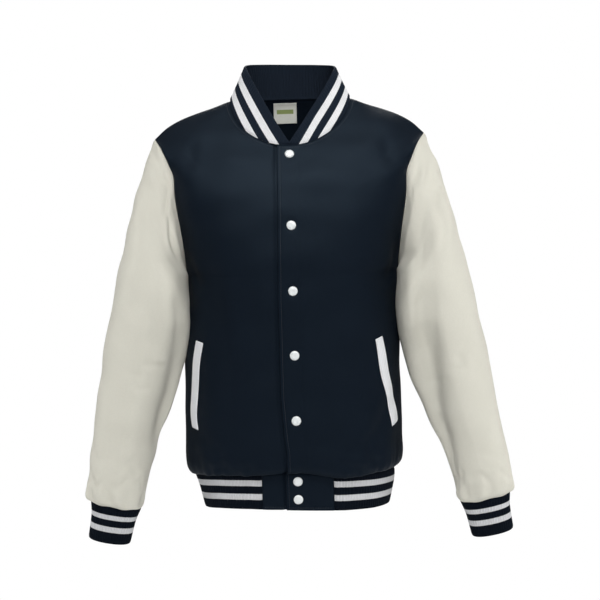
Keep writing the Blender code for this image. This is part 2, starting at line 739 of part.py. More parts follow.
def add_snap(name, carrier, height, finish, collection):
    """Domed cap seated on the cloth in front of the snap line."""
    data = bpy.data.meshes.new(name)
    profile = [(radius * SNAP_RADIUS, 0.0, up) for radius, up in zip(*SNAP_PROFILE.values())]
    data.from_pydata(profile, [(i, i + 1) for i in range(len(profile) - 1)], [])
    data.materials.append(finish)
    snap = bpy.data.objects.new(name, data)
    turn = snap.modifiers.new("turn", "SCREW")
    turn.steps = turn.render_steps = SNAP_STEPS
    turn.use_merge_vertices = True
    turn.merge_threshold = 0.00001
    surface = surface_of(carrier)
    ahead = Vector((0, 1, 0))
    middle, normal = surface.ray_cast(Vector((0, -1, height)), ahead)[:2]
    rotation = normal.to_track_quat("Z", "X")
    seat = 0.0
    for i in range(SNAP_STEPS):
        angle = 2 * math.pi * i / SNAP_STEPS
        rim = middle + rotation @ Vector((math.cos(angle), math.sin(angle), 0)) * SNAP_RADIUS
        hit = surface.ray_cast(rim - ahead, ahead)[0]
        seat = max(seat, (hit - middle) @ normal)
    snap.location = middle + normal * (seat + SEAM_GAP)
    snap.rotation_mode = "QUATERNION"
    snap.rotation_quaternion = rotation
    collection.objects.link(snap)


def make_finishes():
    made = {}
    for name, (colour, roughness) in FINISHES.items():
        finish = bpy.data.materials.new(name)
        finish.use_nodes = True
        shader = finish.node_tree.nodes["Principled BSDF"]
        shader.inputs["Base Color"].default_value = (*colour, 1.0)
        shader.inputs["Roughness"].default_value = roughness
        shader.inputs["Metallic"].default_value = 0.0
        made[name] = finish
    return made


def main():
    for old in list(bpy.data.objects):
        bpy.data.objects.remove(old)
    collection = bpy.data.collections.new("varsity_jacket")
    bpy.context.scene.collection.children.link(collection)
    finishes = make_finishes()
    pieces = cloth_pieces()
    share_normals(pieces)
    made = {}
    for name, piece in pieces.items():
        draw_back(piece)
        finish = "cream_fleece" if name.startswith("sleeve") else "navy_fleece"
        if piece["rib_seams"] is not None:
            finish = "navy_rib"
        made[name] = add_object(name, piece_wall(piece), finishes[finish], collection)
    for side in ("left", "right"):
        welt = welt_wall(pieces["front_" + side], side)
        add_object("welt_" + side, welt, finishes["white_rib"], collection)
    add_object("neck_label", label_wall(made["back"]), finishes["label_satin"], collection)
    for i, height in enumerate(SNAP_HEIGHTS):
        carrier = made["front_left"] if height > HEM_EDGE["z"] + TAB else made["hem_tab_left"]
        add_snap(f"snap_{i + 1}", carrier, height, finishes["white_snap"], collection)


main()
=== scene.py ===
# Varsity jacket, filled out as if worn, closed with snaps. Metres, +Z up, the front faces -Y.
import math

import bpy
import numpy as np
from mathutils import Matrix, Vector, kdtree
from mathutils.bvhtree import BVHTree


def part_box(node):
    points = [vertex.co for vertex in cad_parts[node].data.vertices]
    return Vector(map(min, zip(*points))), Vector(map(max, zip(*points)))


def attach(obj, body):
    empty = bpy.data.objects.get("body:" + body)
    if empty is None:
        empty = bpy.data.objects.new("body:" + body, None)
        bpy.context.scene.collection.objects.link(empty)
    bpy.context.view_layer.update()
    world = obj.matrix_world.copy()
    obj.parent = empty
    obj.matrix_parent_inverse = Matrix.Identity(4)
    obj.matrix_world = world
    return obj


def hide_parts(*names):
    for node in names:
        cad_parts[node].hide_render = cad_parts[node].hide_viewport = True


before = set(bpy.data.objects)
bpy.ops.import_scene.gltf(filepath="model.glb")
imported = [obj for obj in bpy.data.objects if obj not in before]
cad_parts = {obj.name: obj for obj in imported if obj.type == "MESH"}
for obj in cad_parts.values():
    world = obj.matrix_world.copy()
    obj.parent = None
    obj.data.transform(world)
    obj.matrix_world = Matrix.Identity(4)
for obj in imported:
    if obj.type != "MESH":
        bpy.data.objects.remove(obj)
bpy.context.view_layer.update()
print("frame loaded")


# ---- small maths shared by all pieces

def table(names, *rows):
    return {name: np.array([row[i] for row in rows], float) for i, name in enumerate(names.split())}


def rowSlope(rise, step, k):
    if k == 0:
        return rise[0]
    if k == len(rise):
        return rise[-1]
    if rise[k - 1] * rise[k] <= 0:
        return 0.0
    before, after = 2 * step[k] + step[k - 1], step[k] + 2 * step[k - 1]
    return (before + after) / (before / rise[k - 1] + after / rise[k])


def lookUp(rows, at):  # smooth curves through a table's columns, with no overshoot
    first, *others = rows.values()
    i = int(np.clip(np.searchsorted(first, at, side="right") - 1, 0, len(first) - 2))
    step = np.diff(first)
    t = (at - first[i]) / step[i]
    values = []
    for column in others:
        rise = np.diff(column) / step
        start, end = column[i], column[i + 1]
        out, back = rowSlope(rise, step, i) * step[i], rowSlope(rise, step, i + 1) * step[i]
        values.append(start + t * out + t * t * (3 * (end - start) - 2 * out - back)
                      + t ** 3 * (out + back - 2 * (end - start)))
    return np.array(values)


def ease(t):
    t = np.clip(t, 0.0, 1.0)
    return t * t * (3 - 2 * t)


def ramp(value, start, end):  # 0 up to start, 1 from end on, eased between them
    return ease((value - start) / (end - start))


def power(value, exponent):
    return np.sign(value) * np.abs(value) ** exponent


def unit(vectors):
    return vectors / np.maximum(np.linalg.norm(vectors, axis=-1, keepdims=True), 1e-12)


def runLengths(points, axis=0):  # running length from the first point on
    step = np.linalg.norm(np.diff(points, axis=axis), axis=-1)
    start = np.zeros_like(np.take(step, [0], axis=axis))
    return np.concatenate((start, np.cumsum(step, axis=axis)), axis=axis)


def sampled(curve, places, run=None):  # points of a curve at these running lengths
    run = runLengths(curve) if run is None else run
    return np.stack([np.interp(places, run, column) for column in curve.T], axis=-1)


def along(points, distances):  # signed distances from the centre line; the minus side is mirrored
    found = sampled(points, np.abs(distances))
    found[distances < 0, 0] *= -1
    return found


def mirror(points):  # a grid or row for the other side, still running the same way round
    return (points * np.array([-1.0, 1.0, 1.0]))[..., ::-1, :]


def gridNormals(points, wrap=False):
    if wrap:
        across = np.roll(points, -1, axis=1) - np.roll(points, 1, axis=1)
    else:
        across = np.gradient(points, axis=1)
    return unit(np.cross(across, np.gradient(points, axis=0)))


def closed(points):  # a ring whose first column comes again at the end
    return np.concatenate((points, points[..., :1, :]), axis=-2)


def waves(coordinates, size, seed, count=9):  # smooth unevenness in -1..1 of about this size
    rng = np.random.default_rng(seed)
    total = np.zeros(coordinates.shape[:2])
    for _ in range(count):
        direction = rng.normal(size=coordinates.shape[2])
        direction *= 2 * math.pi / (size * rng.uniform(0.7, 1.6) * np.linalg.norm(direction))
        total += np.sin(coordinates @ direction + rng.uniform(0, 2 * math.pi))
    return total / math.sqrt(count)


# ---- the body's surface: rows climb from the hem seam (0) by the underarm (1) and the shoulder
# point (2) to the neck seam (3), and columns are distances round from the line of snaps

body = {
    "cloth": ("navyFleece", "navy_fleece", "hung"),    # finish, slot and how it is held
    "wall": 0.0020,
    "lap": 0.019,          # each front runs this far past the line of snaps
    "lapDrop": 0.0023,     # the under front lies this far inside the top one
    "tab": 0.058,          # from the line of snaps to the end of the hem rib
    "fineTo": 0.018,       # columns lie closer together up to here, round the snaps
    "seamDepth": 0.0013,   # how deep the cloth dips into a seam
    "seamReach": 0.0022,
    "seamCalm": 0.007,     # folds die away this near a seam
    "tabCalm": 0.03,       # and over this width beside the hem tab
    "topstitch": 0.0055,   # distance of a topstitched line from its seam
    "edgeStitch": 0.0045,  # and of a stitched line from a free edge
    "facingStitch": 0.034,
    "channel": (0.0004, 0.0014),   # depth and half width of the dip along a stitched line
    "groove": (0.0034, 0.0036),    # depth and half width of the dip beside the lap's edge
    "grooveShift": 0.3,            # its middle lies this share of the half width past the edge
    "snapDent": (0.0008, 0.0105),  # the cloth is pressed in round a snap: depth and reach
    # the chest is evened out between these levels, away from its edges and its centre line
    "evenUp": (1.15, 1.55),
    "evenDown": (2.93, 2.63),
    "evenEdge": (0.004, 0.024),
    "evenCentre": (0.022, 0.032),
    "evenRounds": 120,
    "evenStep": 0.7,
    "centre": table(
        "level  frontY  frontZ  backY  backZ",
        (0.00, -0.1240, -0.610, 0.1080, -0.612),
        (0.02, -0.1305, -0.604, 0.1150, -0.606),
        (0.05, -0.1350, -0.594, 0.1195, -0.596),
        (0.11, -0.1370, -0.575, 0.1210, -0.577),
        (0.25, -0.1375, -0.532, 0.1190, -0.533),
        (0.50, -0.1365, -0.454, 0.1155, -0.454),
        (0.75, -0.1375, -0.375, 0.1180, -0.375),
        (1.00, -0.1380, -0.297, 0.1220, -0.296),
        (1.35, -0.1355, -0.247, 0.1260, -0.236),
        (1.70, -0.1275, -0.195, 0.1250, -0.172),
        (2.00, -0.1150, -0.150, 0.1170, -0.116),
        (2.50, -0.0975, -0.116, 0.0950, -0.055),
        (3.00, -0.0790, -0.085, 0.0680, 0.003)),
    "turn": table(
        "level  frontSweep  frontSquare  frontSoft  backSweep  backSquare  backSoft",
        (0.0, 90, 2.35, 0.3, 90, 2.35, 0.3),
        (1.0, 90, 2.40, 0.3, 90, 2.40, 0.3),
        (1.3, 76, 2.40, 0.3, 78, 2.40, 0.3),
        (1.7, 66, 2.30, 0.3, 70, 2.30, 0.3),
        (2.0, 64, 2.15, 0.3, 68, 2.15, 0.3),
        (2.4, 86, 2.10, 0.3, 86, 2.10, 0.3),
        (3.0, 90, 2.00, 0.12, 90, 2.00, 0.3)),
    "sideSeam": table(
        "level  x       y     z",
        (0.00, 0.1625, 0.0, -0.6120),
        (0.02, 0.1700, 0.0, -0.6056),
        (0.05, 0.1765, 0.0, -0.5960),
        (0.11, 0.1790, 0.0, -0.5766),
        (0.25, 0.1785, 0.0, -0.5315),
        (0.50, 0.1765, 0.0, -0.4510),
        (0.60, 0.1770, 0.0, -0.4188),
        (0.70, 0.1768, 0.0, -0.3866),
        (0.85, 0.1722, 0.0, -0.3383),
        (1.00, 0.1730, 0.0, -0.2900)),
    "armhole": table(
        "level  frontX  frontY  frontZ  backX  backY  backZ",
        (1.0, 0.1730, 0.0000, -0.2900, 0.1730, 0.0000, -0.2900),
        (1.1, 0.1728, -0.0250, -0.2835, 0.1735, 0.0250, -0.2835),
        (1.2, 0.1742, -0.0425, -0.2645, 0.1752, 0.0425, -0.2640),
        (1.3, 0.1770, -0.0525, -0.2400, 0.1785, 0.0530, -0.2390),
        (1.4, 0.1805, -0.0580, -0.2140, 0.1830, 0.0590, -0.2125),
        (1.5, 0.1850, -0.0605, -0.1875, 0.1885, 0.0615, -0.1860),
        (1.6, 0.1882, -0.0600, -0.1610, 0.1940, 0.0605, -0.1600),
        (1.7, 0.1895, -0.0565, -0.1340, 0.1995, 0.0570, -0.1340),
        (1.8, 0.1985, -0.0490, -0.1090, 0.2055, 0.0490, -0.1085),
        (1.9, 0.2115, -0.0320, -0.0810, 0.2135, 0.0320, -0.0800),
        (2.0, 0.2230, 0.0000, -0.0640, 0.2230, 0.0000, -0.0640)),
    "shoulderSeam": table(
        "level  x       y     z",
        (2.0, 0.2230, 0.0, -0.0640),
        (2.2, 0.2035, 0.0, -0.0465),
        (2.4, 0.1800, 0.0, -0.0335),
        (2.6, 0.1540, 0.0, -0.0235),
        (2.8, 0.1250, 0.0, -0.0140),
        (3.0, 0.1000, 0.0, -0.0040)),
    "lapEdge": table(      # the fronts' edges wander by this much
        "level  extra",
        (0.00, -0.0012),
        (0.03, -0.0030),
        (0.10, -0.0030),
        (0.18, 0.0000),
        (0.25, 0.0016),
        (0.33, 0.0032),
        (0.40, 0.0046),
        (0.86, 0.0046),
        (1.00, 0.0038),
        (1.35, 0.0030),
        (1.70, 0.0018),
        (2.50, 0.0012),
        (3.00, 0.0010)),
    # main folds between two places, each given by the distance round and the height
    "folds": {
        "front": table(
            "round0 z0 round1 z1 halfWidth height",
            (0.185, -0.215, 0.190, -0.360, 0.018, -0.0025),
            (-0.150, -0.290, -0.110, -0.470, 0.026, -0.0025),
            (0.176, -0.075, 0.186, -0.125, 0.016, -0.0016),
            (-0.176, -0.075, -0.186, -0.125, 0.016, -0.0016)),
        "back": table(
            "round0 z0 round1 z1 halfWidth height",
            (0.120, -0.160, 0.060, -0.330, 0.030, -0.0030),
            (-0.125, -0.150, -0.070, -0.300, 0.030, -0.0030),
            (0.040, -0.480, 0.050, -0.590, 0.020, 0.0025),
            (-0.090, -0.500, -0.095, -0.590, 0.020, 0.0025)),
    },
    # smaller creases, in the same columns
    "creases": {
        "front": table(
            "round0 z0 round1 z1 halfWidth height",
            (0.150, -0.520, 0.075, -0.600, 0.012, -0.0016),
            (0.195, -0.470, 0.120, -0.590, 0.014, -0.0018),
            (-0.165, -0.545, -0.120, -0.600, 0.011, -0.0015),
            (-0.205, -0.520, -0.170, -0.598, 0.012, -0.0014),
            (-0.082, -0.603, -0.018, -0.600, 0.0060, -0.0020),
            (-0.150, -0.600, -0.105, -0.606, 0.0070, -0.0016),
            (0.058, -0.602, 0.118, -0.606, 0.0070, -0.0020),
            (0.112, -0.566, 0.140, -0.606, 0.0090, -0.0022),
            (0.205, -0.262, 0.160, -0.310, 0.011, -0.0016),
            (-0.205, -0.262, -0.158, -0.312, 0.011, -0.0018)),
        "back": table(
            "round0 z0 round1 z1 halfWidth height",
            (0.190, -0.262, 0.130, -0.320, 0.012, -0.0018),
            (-0.190, -0.262, -0.128, -0.325, 0.012, -0.0018),
            (0.150, -0.540, 0.120, -0.600, 0.011, -0.0015),
            (-0.030, -0.550, -0.012, -0.600, 0.010, -0.0013),
            (-0.170, -0.535, -0.150, -0.598, 0.012, -0.0015),
            (0.075, -0.035, 0.020, -0.075, 0.014, -0.0012),
            (-0.080, -0.035, -0.030, -0.080, 0.014, -0.0012)),
    },
    "wander": 0.5,         # how much the creases wander, in their half widths
    "gather": {"height": 0.0014, "reach": 0.010, "size": 0.016, "seed": 11},   # puckers at the hem rib
    "unevenness": 0.0009,
    "waves": (0.075, 5),   # size and seed of the unevenness
    "columns": (14, 66),   # of a front: round the snaps, and from there to its edge
    "backColumns": 100,
}

# small shifts of the hanging garment from the even form
settling = {
    "neckLean": 0.0045,             # the neck leans to the wearer's left
    "neckRise": (-0.085, 0.050),    # heights between which the lean grows
    "neckTilt": (0.0022, 0.07),     # the collar stands this much higher on the wearer's right, at this x
    # how far the body lies to the wearer's right: on one side (-1 or 1) or on both (0), from x0 out to
    # x1, from the height top0 down to top1, and no more from low1 down to low0
    "shifts": table(
        "side  amount  x0     x1     top0    top1    low0    low1",
        (0, 0.0046, 0.145, 0.175, -0.330, -0.370, -0.640, -0.610),
        (-1, 0.0040, 0.080, 0.140, -0.600, -0.620, -0.900, -0.800),
        (1, 0.0015, 0.120, 0.170, -0.530, -0.570, -0.625, -0.605)),
    "hemTilt": 0.0029,              # the hem climbs to the wearer's right
    "tiltWithin": 0.075,            # up to this distance from the centre line
    "tiltAcross": (0.165, 0.115),
    "tiltBelow": (-0.550, -0.600),
    "droop": table(        # how far the body hangs over the hem seam, from side to side
        "x  amount",
        (-0.185, 0.0025),
        (-0.165, 0.0045),
        (-0.130, 0.0095),
        (-0.080, 0.0100),
        (-0.030, 0.0080),
        (-0.010, 0.0050),
        (0.005, 0.0030),
        (0.030, 0.0060),
        (0.060, 0.0115),
        (0.090, 0.0110),
        (0.130, 0.0055),
        (0.165, 0.0020),
        (0.185, 0.0010)),
    "droopOut": 0.2,                # share of it that goes outwards as well
    "droopStart": (0.0, 0.016),     # levels over which it grows above the seam
    "droopEnd": (0.030, 0.230),     # and fades away
}

hem = {
    "cloth": ("hemRibKnit", "navy_rib", "stretched"),
    "edge": {"side": 0.1490, "front": -0.1150, "back": 0.1010, "z": -0.670},
    "height": 0.060,
    "wall": 0.0032,
    "rows": 16,
    "tabColumns": 40,
    "ribPitch": 0.0052,
    "ribColumns": 6,       # columns of points a rib
    "ribRelief": 0.0007,
    "ribCalm": 0.0035,     # the ribs rise from a seam over this length
    "ribEnd": 0.004,       # and from a free edge
    "ribRound": 0.7,       # the lower, the squarer a rib
    "stripes": ((0.0162, 0.0260), (0.0386, 0.0482)),   # white bands, measured from the free edge
}

# distances from a seam at which the first rows or columns lie
nearSeam = np.array([0, 0.0010, 0.0021, 0.0034, 0.0048, 0.0062, 0.0080, 0.0110])
fineLevels = np.concatenate((  # levels of a panel's rows
    [0, 0.003, 0.007, 0.012, 0.018, 0.025, 0.033, 0.042],
    np.linspace(0.054, 1, 112),
    np.linspace(1, 2, 81)[1:],
    np.linspace(2, 2.88, 40)[1:],
    [2.905, 2.928, 2.948, 2.964, 2.978, 2.990, 3.0]))


def lookUpFace(rows, level, face):  # the front's or the back's half of a table's columns
    values = lookUp(rows, level)
    half = len(values) // 2
    return values[:half] if face == "front" else values[half:]


def panelEdge(level, face):
    if level <= 1:
        return lookUp(body["sideSeam"], level)
    if level <= 2:
        return lookUpFace(body["armhole"], level, face)
    return lookUp(body["shoulderSeam"], level)


def halfRow(level, face, samples=240):  # from the centre line to the edge on the wearer's left
    if level < 0:
        centreY, centreZ = hem["edge"][face], hem["edge"]["z"]
        edge = np.array([hem["edge"]["side"], 0.0, hem["edge"]["z"]])
    else:
        centreY, centreZ = lookUpFace(body["centre"], level, face)
        edge = panelEdge(level, face)
    sweep, square, soft = lookUpFace(body["turn"], max(level, 0), face)
    angle = np.linspace(0.0, math.radians(sweep), samples)
    cosine = np.clip(np.cos(angle), 0.0, 1.0)
    roundX = np.sin(angle) ** (2 / square)
    roundY = 1 - cosine ** (2 / square)
    left = (cosine - cosine[-1]) / (1 - cosine[-1])
    climb = 1 - (np.sqrt(left ** 2 + soft ** 2) - soft) / (math.hypot(1, soft) - soft)
    return np.stack([edge[0] * roundX / roundX[-1],
                     centreY + (edge[1] - centreY) * roundY / roundY[-1],
                     centreZ + (edge[2] - centreZ) * climb], axis=1)


def settled(points, onBody=True):
    moved = points.copy()
    x, z = points[..., 0], points[..., 2]
    moved[..., 0] += settling["neckLean"] * ramp(z, *settling["neckRise"])
    if onBody:
        for side, amount, x0, x1, top0, top1, low0, low1 in zip(*settling["shifts"].values()):
            away = side * x if side else np.abs(x)
            moved[..., 0] -= amount * ramp(away, x0, x1) * ramp(z, top0, top1) * ramp(z, low0, low1)
        tilt = np.clip(x / settling["tiltWithin"], -1, 1) * ramp(np.abs(x), *settling["tiltAcross"])
        moved[..., 2] -= settling["hemTilt"] * tilt * ramp(z, *settling["tiltBelow"])
    return moved


def drooped(points, levels):  # the body hangs over its hem seam
    shape = ramp(levels, *settling["droopStart"]) * (1 - ramp(levels, *settling["droopEnd"]))
    amount = shape[:, None] * np.interp(points[..., 0], *settling["droop"].values())
    points[..., 2] -= amount
    points[..., :2] += unit(points[..., :2]) * (settling["droopOut"] * amount)[..., None]
    return points


def evened(points, weight):  # draws each point of a grid towards its neighbours where weight is 1
    for _ in range(body["evenRounds"]):
        mean = points.copy()
        mean[1:-1, 1:-1] = (points[:-2, 1:-1] + points[2:, 1:-1] + points[1:-1, :-2] + points[1:-1, 2:]) / 4
        points = points + body["evenStep"] * weight[..., None] * (mean - points)
    return points


def lapAt(level):
    return body["lap"] + lookUp(body["lapEdge"], level)[0]


def frontColumns(length, lap):
    start = -lap + nearSeam[-1]
    few, many = body["columns"]
    fine = np.linspace(start, body["fineTo"], few)[1:]
    middle = np.linspace(body["fineTo"], length - nearSeam[-1], many)[1:-1]
    return np.concatenate((-lap + nearSeam, fine, middle, length - nearSeam[::-1]))


def backColumns(length):
    middle = np.linspace(length - nearSeam[-1], -length + nearSeam[-1], body["backColumns"])[1:-1]
    return np.concatenate((length - nearSeam, middle, -length + nearSeam[::-1]))


def lapDrop(distances):  # how far the under front lies inside, at these distances from the snaps
    run = (body["tab"] - distances) / (body["tab"] - body["lap"])
    return body["lapDrop"] * ease(run)


def plainPanel(name):  # the smooth surface of a panel, before any fold
    face = "back" if name == "backPanel" else "front"
    rows, distances = [], []
    for level in fineLevels:
        curve = halfRow(level, face)
        length = runLengths(curve)[-1]
        columns = backColumns(length) if face == "back" else frontColumns(length, lapAt(level))
        rows.append(along(curve, columns))
        distances.append(columns)
    points, distances = np.array(rows), np.array(distances)
    edge = runLengths(points, 1)
    edge = np.minimum(edge, edge[:, -1:] - edge)
    weight = (ramp(fineLevels, *body["evenUp"]) * ramp(fineLevels, *body["evenDown"]))[:, None]
    weight = weight * ramp(edge, *body["evenEdge"])
    if face == "front":
        weight *= ramp(np.abs(distances), *body["evenCentre"])
    points = evened(points, weight)
    drop = 0
    if name == "frontRight":
        points, distances = mirror(points), -distances[:, ::-1]
        drop = lapDrop(-distances)
    points = settled(drooped(points, fineLevels))
    return {"name": name, "face": face, "points": points, "distances": distances, "drop": drop,
            "wrap": False}


foldShape = {
    "fade": 0.25,          # a fold fades in and out over this share of its length, past its ends too
    "wander": (5.5, 2.1),  # how a crease wanders: turn along it, and offset from crease to crease
    "lips": (0.35, 1.9, 0.9),  # the cloth rises beside a crease: share, place and half width
}


def foldHeights(first, second, folds, wobble=0.0):
    height = np.zeros_like(first)
    fade, (turn, offset), (lip, place, reach) = foldShape.values()
    for number, (a0, b0, a1, b1, halfWidth, amount) in enumerate(zip(*folds.values())):
        run = math.hypot(a1 - a0, b1 - b0)
        t = ((first - a0) * (a1 - a0) + (second - b0) * (b1 - b0)) / run ** 2
        off = ((first - a0) * (b1 - b0) - (second - b0) * (a1 - a0)) / run
        off = off + wobble * halfWidth * np.sin(turn * t + offset * number)
        side = np.exp(-(off / halfWidth) ** 2)
        if wobble:
            side = side - lip * np.exp(-((np.abs(off) / halfWidth - place) / reach) ** 2)
        height += amount * side * ramp(t, -fade, fade) * ramp(t, 1 + fade, 1 - fade)
    return height


def nodeOf(name):  # the solid that a cloth piece replaces
    return "back" if name == "backPanel" else "".join("_" + c.lower() if c.isupper() else c for c in name)


def edgeDistances(piece):  # distance of every point from each border of its grid
    points = piece["points"]
    up = runLengths(points, 0)
    piece["from"] = {"start": up, "end": up[-1:] - up}
    if not piece["wrap"]:
        across = runLengths(points, 1)
        piece["from"].update({"first": across, "last": across[:, -1:] - across})


def seamDip(piece, seams):  # the cloth's dip into its seams
    dip = np.zeros(piece["points"].shape[:2])
    for border in seams:
        dip = np.maximum(dip, np.exp(-(piece["from"][border] / body["seamReach"]) ** 2))
    return -body["seamDepth"] * dip


def seamCalm(piece, seams, reach=body["seamCalm"]):  # 0 on a seam, 1 away from it
    calm = np.ones(piece["points"].shape[:2])
    for border in seams:
        calm = calm * (1 - np.exp(-(piece["from"][border] / reach) ** 2))
    return calm


def stitchedChannel(piece, lines):
    channel = np.zeros(piece["points"].shape[:2])
    depth, reach = body["channel"]
    for border, distance in lines:
        channel -= depth * np.exp(-((piece["from"][border] - distance) / reach) ** 2)
    return channel


def gathers(piece, border, gather, number):  # puckers along one border
    distance = piece["from"][border] / gather["reach"]
    columns = piece["points"].shape[1]
    angle = np.arange(columns) / columns * 2 * math.pi
    if piece["wrap"]:
        place = np.stack([np.cos(angle), np.sin(angle)], axis=1) * piece["girth"] / (2 * math.pi)
    else:
        row = piece["points"][0 if border == "start" else -1]
        place = np.stack([runLengths(row), 0 * angle], axis=1)
    strength = waves(place[None], gather["size"], gather["seed"] + number)
    return gather["height"] * strength * distance * np.exp(1 - distance) * (distance < 8)


# ---- turning grids into cloth

def meshObject(name, points, faces, finish):  # one smooth object on the root body
    mesh = bpy.data.meshes.new(name)
    mesh.from_pydata(points, [], faces)
    mesh.shade_smooth()
    mesh.materials.append(finishes[finish])
    made = bpy.data.objects.new(name, mesh)
    bpy.context.scene.collection.objects.link(made)
    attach(made, "root")
    return made


def shellObject(name, outer, inner, wrap, finish, values=None):  # two faces and the rims between them
    rows, columns = outer.shape[:2]
    index = np.arange(rows * columns).reshape(rows, columns, 1)
    ring = outer
    if wrap:
        index, ring = closed(index), closed(outer)
    uv = np.stack([runLengths(ring, 1), runLengths(ring, 0)], axis=2)
    uv[..., 0] = uv[rows // 2, :, 0]
    pad = np.arange(index.size).reshape(index.shape[:2])
    back = pad + pad.size

    def strip(*corners):
        return np.stack(corners, axis=-1).reshape(-1, 4)

    faces = [strip(pad[:-1, :-1], pad[:-1, 1:], pad[1:, 1:], pad[1:, :-1]),
             strip(back[1:, :-1], back[1:, 1:], back[:-1, 1:], back[:-1, :-1]),
             strip(pad[0, 1:], pad[0, :-1], back[0, :-1], back[0, 1:]),
             strip(pad[-1, :-1], pad[-1, 1:], back[-1, 1:], back[-1, :-1])]
    if not wrap:
        faces += [strip(pad[:-1, 0], pad[1:, 0], back[1:, 0], back[:-1, 0]),
                  strip(pad[1:, -1], pad[:-1, -1], back[:-1, -1], back[1:, -1])]
    faces = np.concatenate(faces)
    vertexOf = np.concatenate((index.ravel(), index.ravel() + rows * columns))
    points = np.concatenate((outer.reshape(-1, 3), inner.reshape(-1, 3)))
    piece = meshObject(name, points.tolist(), vertexOf[faces].tolist(), finish)
    layer = piece.data.uv_layers.new(name="cloth")
    layer.data.foreach_set("uv", uv.reshape(-1, 2)[faces.ravel() % pad.size].ravel())
    if values is not None:
        spot = piece.data.attributes.new("edgeDistance", "FLOAT", "POINT")
        spot.data.foreach_set("value", np.concatenate((values.ravel(), np.full(values.size, -1.0))))
    return piece


thinnest = 0.02        # a rounded edge keeps this much, squared


def roundedHalf(piece, wall, free):  # half the wall, rounded off towards free edges
    half = np.full(piece["points"].shape[:2], wall / 2)
    for border in free:
        near = np.clip(2 * piece["from"][border] / wall, 0, 1)
        half *= np.sqrt(np.clip(1 - (1 - near) ** 2, thinnest, 1))
    return half


# the wall's middle over the smooth surface, half of the wall, and the dips of its outer face
def thicken(piece, settings, raised, half, dip=0.0, stripeEdge=None):
    finish, piece["slot"], piece["held"] = settings["cloth"]
    middle = piece["points"] + piece["shared"] * raised[..., None]
    piece["outer"] = middle + piece["shared"] * (half + dip)[..., None]
    piece["inner"] = middle - piece["shared"] * half[..., None]
    piece["object"] = shellObject(
        piece["name"], piece["outer"], piece["inner"], piece["wrap"], finish, stripeEdge)


def makeCloth(piece, settings, heights, sewn, free=(), stripeEdge=None):
    wall = settings["wall"]
    raised = heights - wall / 2 - piece.get("drop", 0)
    thicken(piece, settings, raised, roundedHalf(piece, wall, free), seamDip(piece, sewn), stripeEdge)


# ---- the sleeves: stations run down the arm from the armhole (0) to the cuff seam (24)

